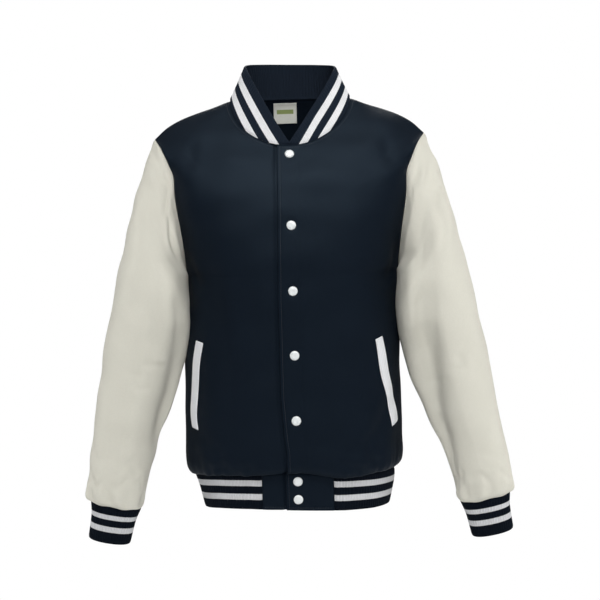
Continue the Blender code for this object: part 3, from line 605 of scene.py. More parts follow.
sleeve = {
    "cloth": ("creamFleece", "cream_fleece", "hung"),
    "wall": body["wall"],
    "sections": table(
        "station  outerX  outerZ  innerX  innerZ  depth  middle  square",
        (0.0, 0.2230, -0.0640, 0.1730, -0.2900, 0.0600, 0.0000, 2.0),
        (1.0, 0.2330, -0.0880, 0.1758, -0.2965, 0.0665, 0.0000, 2.0),
        (2.0, 0.2440, -0.1130, 0.1766, -0.3060, 0.0725, -0.0010, 2.1),
        (3.0, 0.2522, -0.1390, 0.1764, -0.3170, 0.0770, -0.0050, 2.1),
        (4.0, 0.2586, -0.1660, 0.1760, -0.3280, 0.0800, -0.0160, 2.2),
        (6.0, 0.2698, -0.2210, 0.1754, -0.3480, 0.0815, -0.0360, 2.2),
        (8.0, 0.2822, -0.2770, 0.1750, -0.3690, 0.0790, -0.0425, 2.2),
        (10.0, 0.2932, -0.3280, 0.1752, -0.3930, 0.0735, -0.0430, 2.2),
        (12.0, 0.3034, -0.3760, 0.1778, -0.4190, 0.0670, -0.0430, 2.2),
        (14.0, 0.3120, -0.4230, 0.1840, -0.4500, 0.0615, -0.0420, 2.2),
        (16.0, 0.3202, -0.4700, 0.1948, -0.4860, 0.0565, -0.0410, 2.2),
        (18.0, 0.3277, -0.5175, 0.2105, -0.5265, 0.0520, -0.0400, 2.2),
        (20.0, 0.3352, -0.5652, 0.2280, -0.5692, 0.0475, -0.0395, 2.2),
        (22.0, 0.3426, -0.6117, 0.2443, -0.6167, 0.0430, -0.0390, 2.2),
        (23.0, 0.3468, -0.6342, 0.2520, -0.6440, 0.0415, -0.0390, 2.2),
        (23.6, 0.3475, -0.6478, 0.2552, -0.6618, 0.0400, -0.0390, 2.2),
        (24.0, 0.3422, -0.6567, 0.2584, -0.6720, 0.0345, -0.0390, 2.2)),
    "innerSquare": table(  # the sections' inner half is less square
        "station  square",
        (0.0, 2.0),
        (4.0, 2.0),
        (8.0, 1.85),
        (12.0, 1.62),
        (18.0, 1.60),
        (22.0, 1.85),
        (24.0, 2.2)),
    "capEnd": 9.0,         # station where the armhole's curve has faded into plain sections
    "evening": 5,          # rounds of averaging, a row, that it fades with
    "eveningStart": 0.5,   # from this station on
    # under the arm the inner side comes nearer the body and lies further forward, between these
    # distances from the middle, heights and stations, and at these heights and sines of the turn
    "inside": ((0.225, 0.190), (-0.460, -0.360), (0.1, 1.3)),
    "closer": {"Left": 0.0085, "Right": 0.0065},
    "closerBetween": (-0.262, -0.292),
    "forward": 0.0150,
    "forwardBetween": ((-0.110, -0.240), (-0.7, 0.2)),
    # the lower end lies further to the wearer's left and higher, and the front of it hangs lower
    "shift": {"Left": 0.0035, "Right": 0.0032},
    "shiftBetween": (-0.520, -0.620),
    "shorter": {"Left": 0.0028, "Right": 0.0050},
    "shorterBetween": (-0.430, -0.600),
    "endTilt": 0.13,
    "tiltStations": (19, 24),
    "ripples": ((0.0007, 5, 1.0), (0.00049, 8, 2.5)),  # height, number and offset of each
    "rippleStations": (22, 24),
    "seamStep": 0.028,     # length of a station at the seams
    "stationStep": 0.026,  # and between them, for the folds
    "armRadius": 0.065,
    "foldCalm": 0.9,       # folds fade over this many stations at the seams
    # folds between two places, each given by its station and its turn from the outer line
    "folds": table(
        "left right station0 turn0 station1 turn1 halfWidth height",
        (1, 0, 3.6, 96, 7.1, 113, 0.015, -0.0045),
        (1, 0, 7.1, 113, 11.5, 124, 0.020, -0.0120),
        (1, 0, 11.5, 124, 16.8, 138, 0.025, -0.0180),
        (1, 0, 16.8, 138, 20.6, 152, 0.021, -0.0110),
        (1, 0, 20.6, 152, 23.0, 164, 0.018, -0.0060),
        (1, 0, 12.5, 88, 20.0, 98, 0.022, 0.0025),
        (0, 1, 2.6, 44, 6.2, 68, 0.018, -0.0055),
        (0, 1, 6.2, 68, 10.4, 76, 0.018, -0.0050),
        (0, 1, 5.0, 98, 9.5, 112, 0.017, 0.0030),
        (0, 1, 6.0, 134, 11.0, 148, 0.020, -0.0070),
        (0, 1, 11.0, 148, 19.5, 162, 0.022, -0.0120),
        (0, 1, 17.2, 58, 20.8, 84, 0.018, -0.0035),
        (0, 1, 16.4, 100, 20.2, 112, 0.018, 0.0025),
        (1, 1, 12.8, 215, 14.2, 290, 0.018, -0.0030),
        (1, 1, 15.4, 205, 16.6, 285, 0.018, -0.0025),
        (1, 1, 20.2, 200, 21.6, 320, 0.014, -0.0030),
        (1, 1, 1.5, 300, 7.0, 255, 0.022, -0.0035),
        (1, 1, 5.0, 235, 10.5, 228, 0.022, -0.0050)),
    "creases": table(
        "left right station0 turn0 station1 turn1 halfWidth height",
        (1, 0, 0.8, 50, 1.1, 84, 0.008, -0.0016),
        (1, 0, 1.5, 33, 3.5, 45, 0.012, -0.0034),
        (1, 0, 3.5, 45, 6.0, 62, 0.013, -0.0034),
        (0, 1, 0.4, 22, 0.9, 50, 0.008, -0.0024),
        (0, 1, 0.9, 50, 1.5, 86, 0.011, -0.0040),
        (0, 1, 1.5, 86, 1.9, 122, 0.012, -0.0040),
        (1, 1, 1.0, 285, 4.4, 240, 0.010, -0.0022),
        (1, 1, 2.0, 255, 4.0, 215, 0.009, -0.0018),
        (0, 1, 14.6, 84, 15.8, 108, 0.010, -0.0022),
        (0, 1, 13.2, 100, 14.0, 126, 0.010, -0.0018),
        (1, 0, 13.8, 70, 15.0, 92, 0.010, -0.0014),
        (1, 1, 10.6, 225, 11.4, 300, 0.011, -0.0020),
        (1, 1, 17.6, 200, 18.4, 262, 0.010, -0.0018),
        (1, 0, 20.0, 35, 21.2, 80, 0.010, -0.0018),
        (0, 1, 20.6, 32, 21.4, 76, 0.009, -0.0020),
        (0, 1, 21.2, 96, 21.6, 132, 0.009, -0.0020),
        (1, 1, 22.5, 30, 22.6, 62, 0.007, -0.0022),
        (1, 1, 22.6, 84, 22.3, 118, 0.007, -0.0022),
        (1, 1, 22.3, 128, 22.6, 152, 0.006, -0.0018),
        (1, 1, 22.5, 205, 22.2, 262, 0.006, -0.0015),
        (1, 1, 22.2, 290, 22.6, 345, 0.006, -0.0015)),
    "wander": 0.6,
    "gather": {"height": 0.0028, "reach": 0.011, "size": 0.020, "seed": 21},   # puckers above the cuff
    "waves": (0.060, 7),
}

cuff = {
    "cloth": ("cuffRibKnit", "navy_rib", "stretched"),
    "wall": hem["wall"],
    "sections": table(
        "drop  width   depth",
        (0.003, 0.0402, 0.0328),
        (0.012, 0.0378, 0.0312),
        (0.023, 0.0358, 0.0298),
        (0.059, 0.0337, 0.0262)),
    "lean": {"Left": 10.5, "Right": 12.0},
    "forward": 0.05,
    "stripes": ((0.0187, 0.0277), (0.0388, 0.0464)),
}

loopSteps = 80
seamStations = nearSeam / sleeve["seamStep"]
stations = np.concatenate((
    seamStations, np.linspace(0.6, 23.2, 150), [23.36, 23.5], 24 - seamStations[::-1]))


def sleeveRing(station, turns):
    outerX, outerZ, innerX, innerZ, depth, middle, square = lookUp(sleeve["sections"], station)
    square = np.where(np.cos(turns) > 0, square, lookUp(sleeve["innerSquare"], station)[0])
    reach = power(np.cos(turns), 2 / square)
    return np.stack([(outerX + innerX) / 2 + (outerX - innerX) / 2 * reach,
                     middle - depth * power(np.sin(turns), 2 / square),
                     (outerZ + innerZ) / 2 + (outerZ - innerZ) / 2 * reach], axis=1)


def averaged(ring):  # each value with its neighbours
    return (np.roll(ring, 1, axis=0) + 2 * ring + np.roll(ring, -1, axis=0)) / 4


def plainSleeve(side):
    steps = np.arange(loopSteps) / loopSteps
    loop = np.array([panelEdge(2 - s, "front") for s in steps] + [panelEdge(1 + s, "back") for s in steps])
    outer, inner = sleeveRing(0, np.array([0.0, math.pi]))
    half, middle = (outer - inner) / 2, (outer + inner) / 2
    levelTurns = np.arccos(np.clip((loop - middle) @ half / (half @ half), -1, 1))
    levelTurns[loopSteps + 1:] = 2 * math.pi - levelTurns[loopSteps + 1:]
    evenTurns = np.arange(len(loop)) * 2 * math.pi / len(loop)
    scoop, lag = loop - sleeveRing(0, levelTurns), (levelTurns - evenTurns)[:, None]
    rows, turns = [], []
    for station in stations:
        cap = 1 - ramp(station, 0, sleeve["capEnd"])
        for _ in range(sleeve["evening"] if station > sleeve["eveningStart"] else 0):
            scoop, lag = averaged(scoop), averaged(lag)
        turns.append(evenTurns + lag[:, 0] * cap)
        rows.append(sleeveRing(station, turns[-1]) + scoop * cap)
    points, turns = np.array(rows), np.array(turns)
    if side == "Right":
        points, turns = mirror(points), turns[:, ::-1]
    points = settled(points, False)
    settleSleeve(side, points, turns)
    girth = runLengths(closed(points[-1]))[-1]
    return {"name": "sleeve" + side, "side": side, "points": points, "turns": turns, "girth": girth,
            "wrap": True}


def settleSleeve(side, points, turns):  # small shifts of the hanging sleeve
    x, z = points[..., 0].copy(), points[..., 2].copy()
    row = stations[:, None]
    inside = math.prod(ramp(v, *ends) for v, ends in zip((np.abs(x), z, row), sleeve["inside"]))
    height, turn = sleeve["forwardBetween"]
    points[..., 0] -= sleeve["closer"][side] * np.sign(x) * inside * ramp(z, *sleeve["closerBetween"])
    points[..., 1] -= sleeve["forward"] * inside * ramp(z, *height) * ramp(np.sin(turns), *turn)
    points[..., 0] += sleeve["shift"][side] * ramp(z, *sleeve["shiftBetween"])
    points[..., 2] += sleeve["shorter"][side] * ramp(z, *sleeve["shorterBetween"])
    ahead = points[..., 1] - points[..., 1].mean(axis=1, keepdims=True)
    points[..., 2] += sleeve["endTilt"] * ahead * ramp(row, *sleeve["tiltStations"])
    for amount, number, offset in sleeve["ripples"]:
        points[..., 2] += amount * np.sin(turns * number + offset) * ramp(row, *sleeve["rippleStations"])


def sleeveFolds(piece, which, wobble=0.0):
    column = sleeve[which]
    keep = column[piece["side"].lower()] > 0
    radius, step = sleeve["armRadius"], sleeve["stationStep"]
    folds = {}
    for end in "01":
        folds["round" + end] = np.radians(column["turn" + end][keep]) * radius
        folds["along" + end] = column["station" + end][keep] * step
    folds.update(halfWidth=column["halfWidth"][keep], height=column["height"][keep])
    places = piece["turns"] * radius
    height = foldHeights(places, stations[:, None] * step + 0 * places, folds, wobble)
    return height * ramp(np.minimum(stations, 24 - stations), 0, sleeve["foldCalm"])[:, None]


# ---- rib-knit pieces

collar = {
    "cloth": ("collarRibKnitLit", "navy_rib", "stretched"),
    "wall": 0.0032,
    "height": 0.075,
    "rows": 30,
    "steps": 400,          # points of the top edge's curve
    "stripes": ((0.0133, 0.0250), (0.0373, 0.0490)),
    # the stripes lie a little unevenly: stretch, shift, and shift and reach at the front end
    "uneven": {"left": (1.06, 0.0, 0.0034, 0.07), "right": (1.0, 0.0015, 0.0012, 0.10)},
    "backShare": (0.35, 0.65),     # one side's unevenness goes over into the other's here
    "top": table(
        "share  x       y        z",
        (0.000, 0.0000, -0.0795, -0.0810),
        (0.192, 0.0289, -0.0660, -0.0350),
        (0.384, 0.0558, -0.0470, 0.0105),
        (0.503, 0.0697, -0.0290, 0.0370),
        (0.595, 0.0745, -0.0060, 0.0500),
        (0.694, 0.0700, 0.0220, 0.0555),
        (0.794, 0.0550, 0.0470, 0.0590),
        (0.896, 0.0300, 0.0630, 0.0610),
        (1.000, 0.0000, 0.0680, 0.0615)),
}


def ringCurve(level):  # right round the body from the front centre, by the wearer's left
    half = np.concatenate((halfRow(level, "front"), halfRow(level, "back")[::-1][1:]))
    return np.concatenate((half, mirror(half)[1:]))


def edgeRows(wall, length, middleRows):  # rows from a rounded free edge up to a seam
    start = wall / 2 * np.array([0, 0.03, 0.12, 0.3, 0.6, 1.0])
    middle = np.linspace(wall, length - nearSeam[-1], middleRows)
    return np.concatenate((start, middle, length - nearSeam[::-1][1:])) / length


def ribColumns(length):  # the columns that the whole ribs in a length take
    return hem["ribColumns"] * round(length / hem["ribPitch"])


def hemGrid(first, last, columns):  # part of the hem, between two lengths round its seam
    lower, upper = ringCurve(-1), ringCurve(0)
    tab = body["tab"]
    scale = (runLengths(lower)[-1] / 2 - tab) / (runLengths(upper)[-1] / 2 - tab)
    places = np.linspace(first, last, columns)
    lowerPlaces = np.where(places > tab, tab + (places - tab) * scale, places)
    top, bottom = along(upper, places), along(lower, lowerPlaces)
    rows = edgeRows(hem["wall"], hem["height"], hem["rows"])
    return np.array([bottom + (top - bottom) * t for t in rows]), places


def hemRibGrid():
    end = runLengths(ringCurve(0))[-1] - body["tab"]
    points = hemGrid(body["tab"], end, ribColumns(end - body["tab"]) + 1)[0]
    return {"name": "hemRib", "points": settled(points), "wrap": False}


def hemTabGrid(side):
    points, places = hemGrid(-body["lap"], body["tab"], hem["tabColumns"])
    drop = 0
    if side == "Right":
        points, drop = mirror(points), lapDrop(places[::-1])
    return {"name": "hemTab" + side, "points": settled(points), "drop": drop, "wrap": False}


def collarGrid():
    curve = ringCurve(3)
    total = runLengths(curve)[-1]
    share = np.linspace(0, 2, ribColumns(total) + 1)
    steps = np.linspace(0, 1, collar["steps"])
    top = sampled(np.array([lookUp(collar["top"], s) for s in steps]), np.minimum(share, 2 - share), steps)
    top[share > 1, 0] *= -1
    tilt, reach = settling["neckTilt"]
    top[:, 2] -= tilt * top[:, 0] / reach
    base, top = settled(sampled(curve, share / 2 * total)), settled(top)
    rows = 1 - edgeRows(collar["wall"], collar["height"], collar["rows"])[::-1]
    points = np.array([base + (top - base) * t for t in rows])
    return {"name": "collarRib", "points": points, "wrap": False, "top": top}


def cuffGrid(arm):
    ring = closed(arm["points"][-1])
    girth = runLengths(ring)[-1]
    columns = ribColumns(girth)
    seam = sampled(ring, np.arange(columns) / columns * girth)
    outwards = 1 if arm["side"] == "Left" else -1
    angle = math.radians(cuff["lean"][arm["side"]])
    down = np.array([outwards * math.sin(angle), -cuff["forward"], -math.cos(angle)])
    # the seam evened out to a plane, so that the cuff's edge is straight
    flatness = np.column_stack((seam[:, :2], np.ones(len(seam))))
    level = np.column_stack((seam[:, :2], flatness @ np.linalg.lstsq(flatness, seam[:, 2], rcond=None)[0]))
    middle = (level.max(axis=0) + level.min(axis=0)) / 2
    across, ahead = (level - middle) * np.array([1, 0, 1]), (level - middle) * np.array([0, 1, 0])
    width, depth = np.linalg.norm(across, axis=1).max(), np.abs(ahead).max()
    start, end = cuff["sections"]["drop"][[0, -1]]
    rows = []
    for t in 1 - edgeRows(cuff["wall"], end, hem["rows"])[::-1]:
        drop = max(t * end, start)
        halfWidth, halfDepth = lookUp(cuff["sections"], drop)
        row = middle + down * drop + across * halfWidth / width + ahead * halfDepth / depth
        rows.append(seam + (row - seam) * min(t * end / start, 1))
    return {"name": "cuff" + arm["side"], "points": np.array(rows), "wrap": True}


def ribProfile(piece, seams, freeEdge):
    phase = np.arange(piece["points"].shape[1]) / hem["ribColumns"]
    profile = np.abs(np.cos(math.pi * phase)) ** hem["ribRound"]
    calm = seamCalm(piece, seams, hem["ribCalm"]) * ramp(piece["from"][freeEdge], 0, hem["ribEnd"])
    return hem["ribRelief"] * calm * profile


# ---- all cloth grids, joined along their seams

def borderPlaces(piece):
    rows, columns = piece["points"].shape[:2]
    places = {(r, c) for r in (0, rows - 1) for c in range(columns)}
    if not piece["wrap"]:
        places |= {(r, c) for c in (0, columns - 1) for r in range(rows)}
    return sorted(places)


def shareNormals(pieces, reach=0.003):  # both sides of a seam dip the same way
    trees = {}
    for piece in pieces.values():
        piece["normals"] = gridNormals(piece["points"], piece["wrap"])
        if piece["name"] == "collarRib":
            piece["normals"][:, (0, -1), 0] = 0
        places = borderPlaces(piece)
        tree = kdtree.KDTree(len(places))
        for i, place in enumerate(places):
            tree.insert(piece["points"][place], i)
        tree.balance()
        trees[piece["name"]] = (tree, places)
    for piece in pieces.values():
        shared = piece["normals"].copy()
        for place in trees[piece["name"]][1]:
            total = piece["normals"][place].copy()
            for other in pieces.values():
                if other is piece:
                    continue
                tree, places = trees[other["name"]]
                _, i, away = tree.find(piece["points"][place])
                if away < reach:
                    total += other["normals"][places[i]]
            shared[place] = unit(total)
        piece["shared"] = shared


print("cutting the cloth")
pieces = {}
for name in ("frontLeft", "frontRight", "backPanel"):
    pieces[name] = plainPanel(name)
for side in ("Left", "Right"):
    pieces["sleeve" + side] = plainSleeve(side)
    pieces["cuff" + side] = cuffGrid(pieces["sleeve" + side])
    pieces["hemTab" + side] = hemTabGrid(side)
pieces["hemRib"] = hemRibGrid()
pieces["collarRib"] = collarGrid()
shareNormals(pieces)
for piece in pieces.values():
    edgeDistances(piece)


# ---- finishes

def newGroup(name, inputs, outputs):
    group = bpy.data.node_groups.new(name, "ShaderNodeTree")
    for label, kind, value in inputs:
        socket = group.interface.new_socket(name=label, in_out="INPUT", socket_type="NodeSocket" + kind)
        socket.default_value = value
    for label, kind in outputs:
        group.interface.new_socket(name=label, in_out="OUTPUT", socket_type="NodeSocket" + kind)
    return group, group.nodes.new("NodeGroupInput"), group.nodes.new("NodeGroupOutput")


def addNode(tree, kind, inputs=None, **settings):
    node = tree.nodes.new(kind)
    for key, value in settings.items():
        setattr(node, key, value)
    for socket, source in (inputs or {}).items():
        if isinstance(source, bpy.types.NodeSocket):
            tree.links.new(source, node.inputs[socket])
        else:
            node.inputs[socket].default_value = source
    return node


def calculate(tree, operation, *values):
    return addNode(tree, "ShaderNodeMath", dict(enumerate(values)), operation=operation).outputs[0]


def scaled(tree, colour, factor):
    return addNode(tree, "ShaderNodeVectorMath", {0: colour, "Scale": factor}, operation="SCALE").outputs[0]


def mixColours(tree, factor, first, second):
    return addNode(tree, "ShaderNodeMix", {0: factor, 6: first, 7: second}, data_type="RGBA").outputs[2]


def noiseOf(tree, scale, detail):
    place = addNode(tree, "ShaderNodeTexCoord").outputs["Object"]
    inputs = {"Vector": place, "Scale": scale, "Detail": detail}
    return addNode(tree, "ShaderNodeTexNoise", inputs).outputs[0]


def mapRange(tree, value, start, end, low=0.0, high=1.0, **settings):
    inputs = {"Value": value, "From Min": start, "From Max": end, "To Min": low, "To Max": high}
    return addNode(tree, "ShaderNodeMapRange", inputs, **settings).outputs[0]


def between(tree, value, ends, **settings):  # 1 between two values, with a soft edge
    steps = []
    for end, sign in zip(ends, (1, -1)):
        away = calculate(tree, "MULTIPLY", calculate(tree, "SUBTRACT", value, end), sign)
        steps.append(mapRange(tree, away, -softEdge, softEdge, **settings))
    return calculate(tree, "MULTIPLY", *steps)


def clothPlace(tree):  # across and along the cloth, in metres
    place = addNode(tree, "ShaderNodeUVMap", uv_map="cloth").outputs[0]
    return addNode(tree, "ShaderNodeSeparateXYZ", {0: place}).outputs


softEdge = 0.0003
stripeNoise = (500.0, 1.0, 0.0005)     # scale, detail and amount of the unevenness of a stripe's edge
fibreSizes = {"Fuzz": (1500, 3), "Tufts": (330, 3), "Patches": (16, 2)}    # scale and detail
stitchShape = {"slant": 0.55, "round": 2.5, "wave": (0.22, 0.78)}


def makeFibres():  # brushed, slightly heathered cloth: fuzz, small tufts and broad unevenness
    group, enter, leave = newGroup(
        "clothFibres",
        [("Color", "Color", (1, 1, 1, 1)), ("Fuzz", "Float", 0.2), ("Tufts", "Float", 0.1),
         ("Patches", "Float", 0.1)],
        [("Color", "Color"), ("Height", "Float")])
    shade, heights = 1.0, {}
    for name, size in fibreSizes.items():
        heights[name] = noiseOf(group, *size)
        centred = calculate(group, "SUBTRACT", heights[name], 0.5)
        shade = calculate(group, "MULTIPLY_ADD", centred, enter.outputs[name], shade)
    group.links.new(scaled(group, enter.outputs["Color"], shade), leave.inputs["Color"])
    height = calculate(group, "MULTIPLY_ADD", heights["Tufts"], 0.6, heights["Fuzz"])
    group.links.new(height, leave.inputs["Height"])
    return group


def makeKnit():  # columns of V-shaped knit stitches, sized in metres
    group, enter, leave = newGroup(
        "knitStitches", [("Wale", "Float", 0.001), ("Course", "Float", 0.0008)],
        [("Height", "Float"), ("Gap", "Float")])
    place = clothPlace(group)
    across = calculate(group, "DIVIDE", place[0], enter.outputs["Wale"])
    upwards = calculate(group, "DIVIDE", place[1], enter.outputs["Course"])
    centred = calculate(group, "SUBTRACT", calculate(group, "FRACT", across), 0.5)
    side = calculate(group, "MULTIPLY", calculate(group, "ABSOLUTE", centred), 2.0)
    slanted = calculate(group, "MULTIPLY_ADD", side, stitchShape["slant"], upwards)
    wave = calculate(group, "SINE", calculate(group, "MULTIPLY", slanted, 2 * math.pi))
    rounded = calculate(group, "SUBTRACT", 1.0, calculate(group, "POWER", side, stitchShape["round"]))
    wave = calculate(group, "MULTIPLY_ADD", wave, *stitchShape["wave"])
    height = calculate(group, "MULTIPLY", wave, rounded)
    group.links.new(height, leave.inputs["Height"])
    # the gap output is 1 less the stitch height: a mask of painted shade in the gaps between the stitches
    group.links.new(calculate(group, "SUBTRACT", 1.0, height), leave.inputs["Gap"])
    return group


bandEnds = (("First Start", "First End"), ("Second Start", "Second End"))


def makeStripes():  # 1 inside two bands, measured from the free edge of a rib
    group, enter, leave = newGroup(
        "ribStripes", [(name, "Float", 0.0) for ends in bandEnds for name in ends], [("Mask", "Float")])
    edge = addNode(group, "ShaderNodeAttribute", attribute_name="edgeDistance").outputs["Fac"]
    *size, amount = stripeNoise
    edge = calculate(group, "MULTIPLY_ADD", noiseOf(group, *size), amount, edge)
    masks = [between(group, edge, [enter.outputs[name] for name in ends], interpolation_type="SMOOTHSTEP")
             for ends in bandEnds]
    group.links.new(calculate(group, "ADD", *masks), leave.inputs["Mask"])
    return group


fibres, knit, stripes = makeFibres(), makeKnit(), makeStripes()


def startMaterial(name, roughness, **inputs):
    material = bpy.data.materials.new(name)
    material.use_nodes = True
    shader = material.node_tree.nodes["Principled BSDF"]
    for label, value in {"Roughness": roughness, **inputs}.items():
        shader.inputs[label].default_value = value
    return material, material.node_tree, shader


def useGroup(tree, group, inputs):
    return addNode(tree, "ShaderNodeGroup", inputs, node_tree=group)


def useFibres(tree, shader, colour, fuzz, tufts, patches):  # colours the shader and gives the height
    cloth = useGroup(tree, fibres, {"Color": colour, "Fuzz": fuzz, "Tufts": tufts, "Patches": patches})
    tree.links.new(cloth.outputs["Color"], shader.inputs["Base Color"])
    return cloth.outputs["Height"]


fleeceLook = {"stitch": (0.0011, 0.0009), "relief": 0.7, "bump": (0.00012, 0.8), "gapShade": 0.0}
ribLook = {
    "roughness": 0.9, "glossTint": (0.6, 0.8, 1.0, 1), "sheen": 0.02, "sheenTint": (0.7, 0.8, 1.0, 1),
    "fibres": (0.22, 0.12, 0.06), "stitch": (0.0026, 0.0017), "relief": 0.3, "bump": (0.00035, 0.8),
    "gapShade": -0.275,
}
# painted shade: the hem's and cuffs' rib is a darker copy of the collar's rib, its navy and white painted
# darker as if low on the body and out of the top light
lowShadedBandLook = {**ribLook, "colours": ((0.0042, 0.0062, 0.0105, 1), (0.660, 0.665, 0.680, 1)), "gloss": 0.05}
white = (1, 1, 1, 1)
# Colours outside and inside the mask; gloss and sheen with their tints; fuzz, tufts and patches; width
# and height of a stitch; share of the tufts in the height; depth and strength of the relief; and how
# much painted shade darkens the gaps between the stitches. The mask is the gaps, unless bands are given;
# where it is the gaps, the second colour is a darker copy, painted shade between the stitches.
looks = {
    "navyFleece": {
        **fleeceLook, "colours": ((0.0048, 0.0084, 0.0150, 1), (0.0024, 0.0043, 0.0080, 1)),
        "roughness": 0.56, "gloss": 0.12, "glossTint": (0.55, 0.78, 1.0, 1), "sheen": 0.0,
        "sheenTint": white, "fibres": (0.5, 0.28, 0.22)},
    "creamFleece": {
        **fleeceLook, "colours": ((0.712, 0.698, 0.620, 1), (0.597, 0.582, 0.500, 1)), "roughness": 0.92,
        "gloss": 0.2, "glossTint": white, "sheen": 0.10, "sheenTint": (1.0, 1.0, 0.95, 1),
        "fibres": (0.10, 0.07, 0.05)},
    "whiteWelt": {
        **fleeceLook, "colours": ((0.860, 0.870, 0.890, 1), (0.700, 0.710, 0.730, 1)), "roughness": 0.9,
        "gloss": 0.2, "glossTint": white, "sheen": 0.08, "sheenTint": white, "fibres": (0.08, 0.06, 0.04)},
    "hemRibKnit": {**lowShadedBandLook, "stripes": hem["stripes"]},
    "cuffRibKnit": {**lowShadedBandLook, "stripes": cuff["stripes"]},
    # painted light: the collar's rib is a lighter copy of the same rib knit, its navy and white painted
    # brighter as if lit from above
    "collarRibKnitLit": {
        **ribLook, "colours": ((0.0100, 0.0150, 0.0250, 1), (0.890, 0.895, 0.905, 1)), "gloss": 0.12,
        "stripes": collar["stripes"]},
    "labelSatin": {        # woven satin with one plain woven band
        "colours": ((0.93, 0.94, 0.86, 1), (0.36, 0.44, 0.16, 1)), "roughness": 0.5, "gloss": 0.5,
        "glossTint": white, "sheen": 0.0, "sheenTint": white, "fibres": (0.06, 0.08, 0.05),
        "stitch": (0.0006, 0.0004), "relief": 0.0, "bump": (0.0001, 0.6), "gapShade": -0.18,
        "band": ((0.0055, 0.0335), (0.0170, 0.0245))},
}


def colourMask(tree, look, gap):
    if "stripes" in look:
        ends = {name: value for pair in zip(bandEnds, look["stripes"]) for name, value in zip(*pair)}
        return useGroup(tree, stripes, ends).outputs["Mask"]
    if "band" in look:
        masks = [between(tree, *pair) for pair in zip(clothPlace(tree), look["band"])]
        return calculate(tree, "MULTIPLY", *masks)
    return gap


def clothMaterial(name):
    look = looks[name]
    material, tree, shader = startMaterial(name, look["roughness"], **{
        "Sheen Weight": look["sheen"], "Sheen Tint": look["sheenTint"], "Sheen Roughness": 0.45,
        "Specular IOR Level": look["gloss"], "Specular Tint": look["glossTint"]})
    stitches = useGroup(tree, knit, dict(zip(("Wale", "Course"), look["stitch"]))).outputs
    # where the mask is the gaps, the second colour is painted shade between the stitches
    colour = mixColours(tree, colourMask(tree, look, stitches["Gap"]), *look["colours"])
    # painted shade: the colour is darkened further in the gaps between the stitches
    if look["gapShade"]:
        shade = calculate(tree, "MULTIPLY_ADD", stitches["Gap"], look["gapShade"], 1.0)
        colour = scaled(tree, colour, shade)
    tufts = useFibres(tree, shader, colour, *look["fibres"])
    height = calculate(tree, "MULTIPLY_ADD", tufts, look["relief"], stitches["Height"])
    distance, strength = look["bump"]
    bump = addNode(tree, "ShaderNodeBump", {"Height": height, "Distance": distance, "Strength": strength})
    tree.links.new(bump.outputs[0], shader.inputs["Normal"])
    return material


threadLook = {
    "colours": {"navyThread": (0.010, 0.014, 0.023, 1), "whiteThread": (0.70, 0.71, 0.72, 1)},
    "roughness": 0.6,
    "fibres": (0.3, 0.15, 0.0),
}
enamelLook = {
    "colour": (0.80, 0.83, 0.83, 1),
    "fibres": (0.02, 0.03, 0.02),
    "roughness": 0.32,
    # from one height of the fibres to another, and the roughness at both
    "roughnessBetween": (0.4, 1.2, 0.24, 0.42),
    "coat": {"Coat Weight": 0.4, "Coat Roughness": 0.15},
}


def threadMaterial(name):
    material, tree, shader = startMaterial(name, threadLook["roughness"])
    useFibres(tree, shader, threadLook["colours"][name], *threadLook["fibres"])
    return material


def enamelMaterial(name):
    material, tree, shader = startMaterial(name, enamelLook["roughness"], **enamelLook["coat"])
    height = useFibres(tree, shader, enamelLook["colour"], *enamelLook["fibres"])
    tree.links.new(mapRange(tree, height, *enamelLook["roughnessBetween"]), shader.inputs["Roughness"])
    return material


finishes = {name: clothMaterial(name) for name in looks}
finishes.update({name: threadMaterial(name) for name in threadLook["colours"]})
finishes["whiteEnamel"] = enamelMaterial("whiteEnamel")
print("finishes mixed")


# ---- cloth pieces: height over the smooth surface, then two faces and a rim

def patternSize(piece):  # the flat cut, measured on the smooth surface
    points = closed(piece["points"]) if piece["wrap"] else piece["points"]
    a, b = points[1:, 1:] - points[:-1, :-1], points[1:, :-1] - points[:-1, 1:]
    area = float(np.linalg.norm(np.cross(a, b), axis=2).sum() / 2)
    width = float(runLengths(points, 1)[:, -1].max())
    length = float(runLengths(points, 0)[-1].max())
    return (round(width, 4), round(length, 4)), round(min(area, width * length), 5)


def lapGroove(past):  # the under front sinks beside the top front's edge, past it by this much
    depth, reach = body["groove"]
    return -depth * np.exp(-(past / reach + body["grooveShift"]) ** 2)


def snapDents(piece):
    depth, reach = body["snapDent"]
    dents = np.zeros(piece["points"].shape[:2])
    for middle in snapPlaces:
        away = np.hypot(piece["points"][..., 0] - middle[0], piece["points"][..., 2] - middle[2])
        dents -= depth * np.exp(-(away / reach) ** 4)
    return dents


def collarEdge(piece):  # distance from the top edge, as the stripes take it
    line = piece["top"][::3]
    away = [np.linalg.norm(line - point, axis=1).min() for point in piece["points"].reshape(-1, 3)]
    away = np.reshape(away, piece["points"].shape[:2])
    sides = {"left": piece["from"]["first"], "right": piece["from"]["last"]}
    total = sides["left"] + sides["right"]
    result = np.zeros_like(away)
    for side, (stretch, shift, endShift, reach) in collar["uneven"].items():
        weight = 1 - ramp(sides[side] / total, *collar["backShare"])
        result += weight * (away * stretch - shift - endShift * (1 - ramp(sides[side], 0, reach)))
    return result


